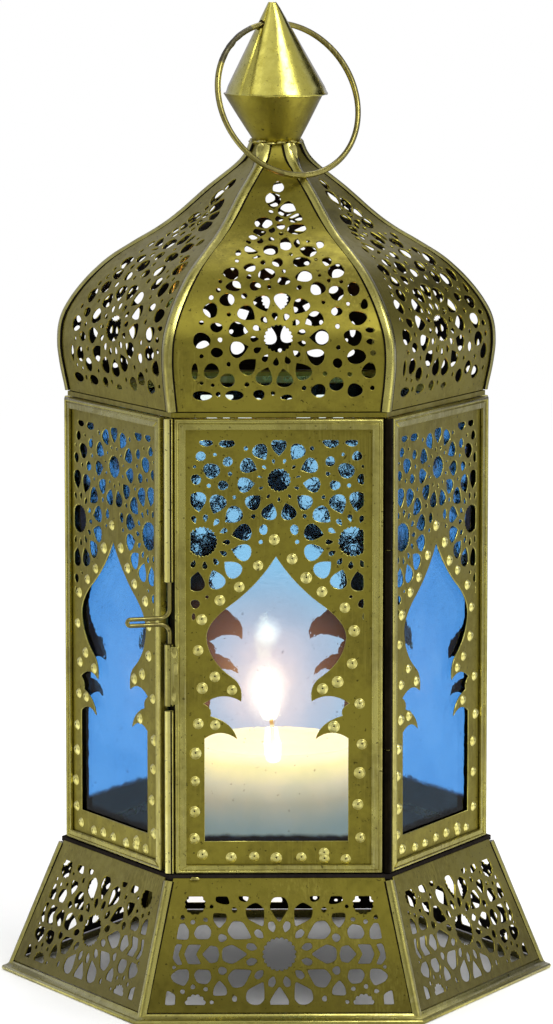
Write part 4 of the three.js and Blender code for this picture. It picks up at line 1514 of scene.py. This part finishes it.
def bendRing():
    part = carryRing
    joint = next(joint for joint in frame["joints"] if joint["name"] == "ring_swing")
    pivot = Vector(joint["pos_m"])
    across = Vector(joint["axis"]).normalized()
    points = [vertex.co for vertex in ringNode.data.vertices]
    centre = sum(points, Vector()) / len(points)
    up = (pivot - centre).normalized()
    place = Matrix((across, up, across.cross(up))).transposed().to_4x4()
    place.translation = centre - Vector((part["drift"] * mm, 0, 0))
    bpy.ops.object.select_all(action="DESELECT")
    bpy.ops.mesh.primitive_torus_add(
        major_segments=144,
        minor_segments=16,
        major_radius=part["radius"] * mm,
        minor_radius=part["wire"] * mm,
    )
    ring = bpy.context.object
    ring.name = "carryingRing"

    def handMade(point):
        angle = math.atan2(point.y, point.x)
        middle = Vector((math.cos(angle), math.sin(angle), 0)) * part["radius"]
        fromMiddle = point - middle
        lump = max(0, 1 - (awayFromJoin(angle) / part["joinSpan"]) ** 2)
        rough = noise.noise(point * 1.3) * 0.25 * lump - 0.04 * lump
        thin = -0.05 + 0.05 * math.sin(3 * angle)
        return middle + fromMiddle * (1 + thin + rough)

    moveVertices(ring, handMade)
    smoothed(ring, 60)
    paintWith(ring, "wire", "join")
    for face in ring.data.polygons:
        away = awayFromJoin(math.atan2(face.center.y, face.center.x))
        face.material_index = 1 if away < part["joinSpan"] else 0
    ring.matrix_world = place
    applyPlace(ring)
    settle(ring, "ring", "carry_ring")
    print("ring bent")


bendRing()


# Hinge and latch tubes, rolled from sheet
tubes = {
    # hinge rolls near black, as painted shade in the gap they sit in; latch rolls in the light boss brass,
    # as a painted highlight
    "hinge_tube_lower": ("root", "hingeTubeLower", "inner", "bright_brass"),
    "hinge_tube_upper": ("root", "hingeTubeUpper", "inner", "bright_brass"),
    "door_hinge_knuckle": ("door", "doorHingeRoll", "inner", "bright_brass"),
    "latch_tube_lower": ("root", "latchTubeLower", "boss", "bright_brass"),
    "latch_tube_upper": ("root", "latchTubeUpper", "boss", "bright_brass"),
    "door_latch_knuckle": ("door", "doorLatchRoll", "edge", "bright_brass"),
}
latchSpread = (1.14, -0.22)  # the latch tubes are pressed wider and lie further to the left


def rollTubes():
    for node, (body, name, finish, slotName) in tubes.items():
        low, high = nodeBox(node)
        outer = (high.y - low.y) / 2
        bore = outer - 0.28
        lip = 0.12
        profile = [
            (outer - lip, low.z), (outer, low.z + lip), (outer, high.z - lip), (outer - lip, high.z),
            (bore, high.z), (bore, low.z),
        ]
        tube = turnedPiece(name, profile, 28)
        centre = (low + high) / 2

        spread, aside = latchSpread if "latch" in node else (1, 0)

        def rolled(point, centre=centre, spread=spread, aside=aside):
            dent = 1 + 0.02 * noise.noise(Vector((point.x, point.y, point.z / 7)))
            return (centre.x + point.x * dent * spread + aside, centre.y + point.y * dent, point.z)

        smoothed(tube, 40)
        paintWith(tube, finish, "inner")
        for face in tube.data.polygons:  # painted shade for the open seam of a rolled tube
            around = math.atan2(face.center.x, -face.center.y) / degree
            face.material_index = 1 if "latch" in node and 14 < around < 34 else 0
        moveVertices(tube, rolled)
        settle(tube, body, node)
    print("tubes rolled")


rollTubes()

# Leaf that holds the latch roll to the door
leaf = {
    "outline": [(-32.3, 93.8), (-29.9, 94.0), (-29.9, 111.2), (-32.3, 111.4)],
    "thickness": 0.3,
    "out": 57.6,
}


def bendLeaf():
    plate = cutSheet("doorLatchLeaf", softened(leaf["outline"], 0.4), [], leaf["thickness"], 0.07)
    foldOnto(plate, [(leaf["out"], 0), (leaf["out"], 200)])
    paintWith(plate, "edge")
    settle(plate, "door")
    print("leaf bent")


bendLeaf()

# Latch wire: upper leg, long flat loop, lower leg
latchLow, latchHigh = nodeBox("latch_wire")
latch = {
    "wire": 0.65,
    "bend": 2.8,
    "loopLength": 13,
    "loopWidth": 1.9,
    "heading": 195,  # degrees, seen from above
    "leg": 3.0,
    "axis": (-32.5, -56.29),
}


def bendLatch():
    part = latch
    lower = latchLow.z + part["leg"] + part["bend"]
    upper = lower + part["loopWidth"]
    reach, bend, half = part["loopLength"], part["bend"], part["loopWidth"] / 2
    middle = (lower + upper) / 2
    route = [(0, latchHigh.z), (0, upper + bend)]
    for i in range(1, 7):
        angle = i * 15 * degree
        route.append((bend - bend * math.cos(angle), upper + bend - bend * math.sin(angle)))
    route.append((reach - half, upper))
    for i in range(1, 12):
        angle = (90 - i * 15) * degree
        route.append((reach - half + half * math.cos(angle), middle + half * math.sin(angle)))
    route.append((reach - half, lower))
    for i in range(0, 7):
        angle = i * 15 * degree
        route.append((bend - bend * math.sin(angle), lower - bend + bend * math.cos(angle)))
    route.append((0, latchLow.z))
    line = bpy.data.curves.new("latch", "CURVE")
    line.dimensions = "3D"
    line.bevel_depth = part["wire"] * mm
    line.bevel_resolution = 3
    line.use_fill_caps = True
    spline = line.splines.new("POLY")
    spline.points.add(len(route) - 1)
    cos, sin = math.cos(part["heading"] * degree), math.sin(part["heading"] * degree)
    for point, (out, height) in zip(spline.points, route):
        point.co = (
            (part["axis"][0] + out * cos) * mm, (part["axis"][1] + out * sin) * mm, height * mm, 1
        )
    wire = bpy.data.objects.new("bentLatchWire", line)
    bpy.context.collection.objects.link(wire)
    selectOnly(wire)
    bpy.ops.object.convert(target="MESH")
    wire = bpy.context.object
    cleanUp(wire)
    smoothed(wire, 40)
    paintWith(wire, "wire")
    settle(wire, "latch", "latch_wire")
    print("latch bent")


bendLatch()

# Solder: lumps where sheets and strips are joined
solderLumps = [  # name, body, place (x, y, z), size (x, y, z)
    ("ribSolderLeft", "root", (-4.7, -7.7, 254.6), (1.5, 0.4, 3.0)),
    ("ribSolderRight", "root", (4.8, -7.7, 254.2), (1.6, 0.4, 3.3)),
    ("gapSolder", "root", (32.7, -56.3, 163.0), (0.4, 0.5, 4.2)),
    ("footSolder", "root", (-25.2, -58.5, 41.2), (1.5, 0.4, 0.6)),
    ("leafSolderHigh", "door", (-31.2, -57.75, 109.6), (0.8, 0.16, 1.5)),
    ("leafSolderMiddle", "door", (-30.7, -57.75, 104.8), (0.55, 0.14, 2.2)),
    ("leafSolderLow", "door", (-31.3, -57.75, 97.4), (0.7, 0.15, 2.4)),
]


def solderLump(name, place, size, seed):
    bpy.ops.object.select_all(action="DESELECT")
    bpy.ops.mesh.primitive_ico_sphere_add(subdivisions=3, radius=mm)
    lump = bpy.context.object
    lump.name = name

    def melted(point):
        swell = 1 + 0.35 * noise.noise(point * 1.4 + Vector((seed, 0, 0)))
        return Vector(place) + Vector((point.x * size[0], point.y * size[1], point.z * size[2])) * swell

    moveVertices(lump, melted)
    selectOnly(lump)
    bpy.ops.object.shade_smooth()
    paintWith(lump, "solder")
    return lump


def meltSolder():
    for i, (name, body, place, size) in enumerate(solderLumps):
        settle(solderLump(name, place, size, i * 3.1), body)
    neck = nodeBox("finial_lower_cone")[0].z
    collar = []
    for i in range(14):
        angle = i * 360 / 14 * degree
        place = (7.0 * math.cos(angle), 7.0 * math.sin(angle), neck + 0.1 + 0.25 * math.sin(i * 2.3))
        size = 0.35 + 0.3 * abs(math.sin(i * 1.9))
        collar.append(solderLump("neckSolder", place, (1.6, 1.6, size), i * 1.7))
    whole = joined("neckSolder", collar)
    paintWith(whole, "solder")
    settle(whole, "root")
    print("solder melted")


meltSolder()

# Candle, wick and flame
candleLow, candleHigh = nodeBox("candle")
candle = {
    "radius": candleHigh.x,
    "foot": candleLow.z,
    "top": candleHigh.z - 1.9,  # melted down a little
    "pool": 1.2,
    "wick": 0.75,
    "wickTop": nodeBox("wick")[1].z,
    "flameFoot": 77.8,
    "flameTop": 95.4,
    "flameRadius": 3.6,
    "flameAside": -2.2,
    "wickAside": -1.2,
}


def closeEnds(piece):
    editAll(piece)
    bpy.ops.mesh.select_all(action="DESELECT")
    bpy.ops.mesh.select_non_manifold()
    bpy.ops.mesh.fill_holes(sides=0)
    bpy.ops.object.mode_set(mode="OBJECT")
    cleanUp(piece)


def pourCandle():
    part = candle
    radius, foot, top, pool = part["radius"], part["foot"], part["top"], part["pool"]
    profile = [
        (radius - 1.2, foot + 0.05),
        (radius - 0.25, foot + 0.8),
        *[(radius - 0.1, foot + (top - foot) * share) for share in (0.1, 0.3, 0.5, 0.7, 0.86)],
        (radius - 0.35, top - 1.0),
        (radius - 1.0, top - 0.25),
        (radius - 2.0, top - 0.1),
        (radius - 3.2, top - 0.7),
        (radius - 5.0, top - pool + 0.25),
        (radius - 9.0, top - pool),
        (9, top - pool),
        (3, top - pool + 0.1),
        (1.4, top - pool + 0.35),
        (0.7, top - pool + 0.5),
    ]
    wax = raiseRing("pillarCandle", 96, roundSteps(profile), lid=False)
    closeEnds(wax)

    def uneven(point):
        flow = noise.noise(Vector((point.x / 16, point.y / 16, point.z / 22)))
        out = 1 - 0.008 * abs(flow)
        lift = 0.35 * noise.noise(Vector((point.x / 11, point.y / 11, 3))) if point.z > top - 3 else 0
        return (point.x * out, point.y * out, min(top, point.z + lift))

    moveVertices(wax, uneven)
    smoothed(wax, 50)
    paintWith(wax, "wax")
    settle(wax, "root", "candle")

    height = part["wickTop"] - (top - pool)
    rows = [(part["wick"] * (1 - 0.25 * t) * (1 + 0.12 * math.sin(9 * t)), top - pool - 1 + (height + 1) * t)
            for t in np.linspace(0, 1, 12)]
    wick = raiseRing("burntWick", 12, roundSteps(rows + [(0.25, part["wickTop"])]), lid=True)

    def curled(point):
        share = max(0, (point.z - top) / 8)
        droop, back = 0.5 * share**2, 0.4 * share**2
        return (part["wickAside"] + point.x - droop, point.y - back, point.z - droop)

    moveVertices(wick, curled)
    smoothed(wick, 60)
    paintWith(wick, "wick")
    settle(wick, "root", "wick")

    rows = []
    for t in np.linspace(0.04, 0.985, 18):
        width = part["flameRadius"] * math.sin(math.pi * t**0.62) ** 0.85
        rows.append((width, part["flameFoot"] + (part["flameTop"] - part["flameFoot"]) * t))
    flame = raiseRing("candleFlame", 24, roundSteps(rows), lid=False)
    closeEnds(flame)
    moveVertices(flame, lambda point: (point.x + part["flameAside"], point.y, point.z))
    smoothed(flame, 80)
    paintWith(flame, "flame")
    settle(flame, "root")
    print("candle poured and lit")


pourCandle()

# CAD nodes that stay as they are, in their own finish
# the floor plate is near black, for soot and for painted shade
keptNodes = {"floor_plate": "soot", "top_plate": "sheet", "hinge_pin": "wire", "neck_spigot": "inner"}
# the corner posts are near black, as painted shade in the gaps between the frames
keptNodes.update({f"corner_post_{i}": "inner" for i in range(1, faceCount + 1)})
for node, finish in keptNodes.items():
    paintWith(frame["nodes"][node], finish)
print("kept nodes finished")


# Studio: pale floor, white background, soft lamps, camera at the photograph's angle
studio = {
    "focal": 184.4,  # on a 36 mm wide sensor, for the picture's long side
    "distance": 1611,
    "aim": 159,  # height that the camera looks at
    "elevation": 7.68,
    "yaw": 0.75,
    "shift": -0.0487,  # share of the picture's height that the aim lies above its middle
    "floorRadius": 1.6,  # metres
    "fill": 1.0,
    "mirrored": 0.45,  # how bright the surroundings look in the brass
    "behind": (0.98, 1.02, 1.8, 1),  # cool light from behind, that the side walls mirror
    "brightSides": (68, -72),  # headings in which the floor looks bright in the brass
}
lamps = [  # name, azimuth, elevation, distance in metres, size, watts
    ("keyLamp", 36, 46, 1.5, 0.7, 8),
    ("sideLamp", -58, 34, 1.6, 1.1, 1.2),
    ("topLamp", 165, 62, 1.5, 0.8, 4),
]
cards = [  # cards that only the brass mirrors: azimuth, elevation, distance, width, height in metres, light
    (-4, 19, 2.0, 0.6, 0.7, 0.0),
    (134, 21, 1.6, 0.75, 1.2, 0.0),
    (20, 76, 1.6, 0.7, 0.5, 0.0),
    (-32, 50, 1.6, 2.2, 0.42, 0.74),
    (66, 10, 1.7, 0.35, 0.8, 2.0),
    (-70, 8, 1.7, 0.35, 0.6, 0.9),
]


def direction(azimuth, elevation):  # azimuth 0 is in front of the door
    a, e = azimuth * degree, elevation * degree
    return Vector((math.sin(a) * math.cos(e), -math.cos(a) * math.cos(e), math.sin(e)))


def setStudio():
    part = studio
    scene = bpy.context.scene
    aim = Vector((0, 0, part["aim"] * mm))
    camera = bpy.data.objects.new("camera", bpy.data.cameras.new("camera"))
    scene.collection.objects.link(camera)
    scene.camera = camera
    back = direction(-part["yaw"], part["elevation"])
    camera.location = aim + back * part["distance"] * mm
    camera.rotation_euler = back.to_track_quat("Z", "Y").to_euler()
    camera.data.lens = part["focal"]
    camera.data.shift_y = part["shift"]
    camera.data.clip_start = 0.1

    for name, azimuth, elevation, distance, size, power in lamps:
        light = bpy.data.lights.new(name, "AREA")
        light.shape = "DISK"
        light.size = size
        light.energy = power
        lamp = bpy.data.objects.new(name, light)
        scene.collection.objects.link(lamp)
        away = direction(azimuth, elevation)
        lamp.location = aim + away * distance
        lamp.rotation_euler = away.to_track_quat("Z", "Y").to_euler()

    for azimuth, elevation, distance, width, height, light in cards:
        plain, start = newMaterial("card")
        shine = start.use("ShaderNodeEmission", {}, {"Color": (1, 1, 1, 1), "Strength": light})
        start.use("ShaderNodeOutputMaterial", {}, {"Surface": shine})
        bpy.ops.object.select_all(action="DESELECT")
        bpy.ops.mesh.primitive_plane_add(size=1)
        card = bpy.context.object
        card.name = f"card{azimuth}"
        card.scale = (width, height, 1)
        away = direction(azimuth, elevation)
        card.location = aim + away * distance
        card.rotation_euler = away.to_track_quat("Z", "Y").to_euler()
        card.data.materials.append(plain)
        card.visible_camera = False
        card.visible_diffuse = False
        card.visible_transmission = False
        card.visible_shadow = False

    world = bpy.data.worlds.new("studio")
    scene.world = world
    world.use_nodes = True
    world.node_tree.nodes.clear()
    sky = Wire(world.node_tree)
    white = sky.use("ShaderNodeBackground", {}, {"Color": (1, 1, 1, 1), "Strength": 1.0})
    soft = sky.use("ShaderNodeBackground", {}, {"Color": (1, 1, 1, 1), "Strength": part["fill"]})
    heading = sky.use("ShaderNodeTexCoord", output=0)
    behind = ramp(sky, sky.use("ShaderNodeSeparateXYZ", {}, {0: heading}, output=1), 0.1, 0.5)
    room = blendColour(sky, behind, (1, 1, 1, 1), part["behind"])
    dim = sky.use("ShaderNodeBackground", {}, {"Color": room, "Strength": part["mirrored"]})
    camera, glossy, through = (
        sky.use("ShaderNodeLightPath", output=name)
        for name in ("Is Camera Ray", "Is Glossy Ray", "Is Transmission Ray")
    )
    unseen = sky.use("ShaderNodeMixShader", {}, {0: glossy, 1: soft, 2: dim})
    seen = sky.maths("MAXIMUM", camera, through)
    mixed = sky.use("ShaderNodeMixShader", {}, {0: seen, 1: unseen, 2: white})
    sky.use("ShaderNodeOutputWorld", {}, {"Surface": mixed})

    bpy.ops.object.select_all(action="DESELECT")
    bpy.ops.mesh.primitive_circle_add(vertices=96, radius=part["floorRadius"], fill_type="NGON")
    floor = bpy.context.object
    floor.name = "floor"
    pale, start = newMaterial("paleFloor")
    place = start.use("ShaderNodeTexCoord", output=3)
    away = start.use("ShaderNodeVectorMath", {"operation": "LENGTH"}, {0: place}, output=1)
    grain = cloud(start, place, 40, 3)
    colour = blendColour(start, grain, (0.95, 0.95, 0.95, 1), (0.98, 0.98, 0.98, 1))
    # the brass mirrors the pale floor only near the lantern
    glossy = start.use("ShaderNodeLightPath", output="Is Glossy Ray")
    through = start.use("ShaderNodeLightPath", output="Is Transmission Ray")
    seen = blendColour(start, ramp(start, away, 0.3, 0.8), (0.42, 0.42, 0.42, 1), (0.16, 0.16, 0.16, 1))
    towards = start.use("ShaderNodeVectorMath", {"operation": "NORMALIZE"}, {0: place})
    for side in part["brightSides"]:
        values = {0: towards, 1: direction(side, 0)}
        aside = start.use("ShaderNodeVectorMath", {"operation": "DOT_PRODUCT"}, values, output=1)
        seen = blendColour(start, ramp(start, aside, 0.78, 0.94), seen, (0.95, 0.95, 0.95, 1))
    seen = blendColour(start, glossy * (1 - through), colour, seen)
    plain = start.use("ShaderNodeBsdfDiffuse", {}, {"Color": seen})
    clear = start.use("ShaderNodeBsdfTransparent")
    edge = ramp(start, away, 0.3, part["floorRadius"] - 0.1)
    surface = start.use("ShaderNodeMixShader", {}, {0: edge, 1: plain, 2: clear})
    start.use("ShaderNodeOutputMaterial", {}, {"Surface": surface})
    floor.data.materials.append(pale)
    scene.view_settings.view_transform = "Standard"
    print("studio set")


setStudio()

bpy.context.view_layer.update()
print("lantern ready")
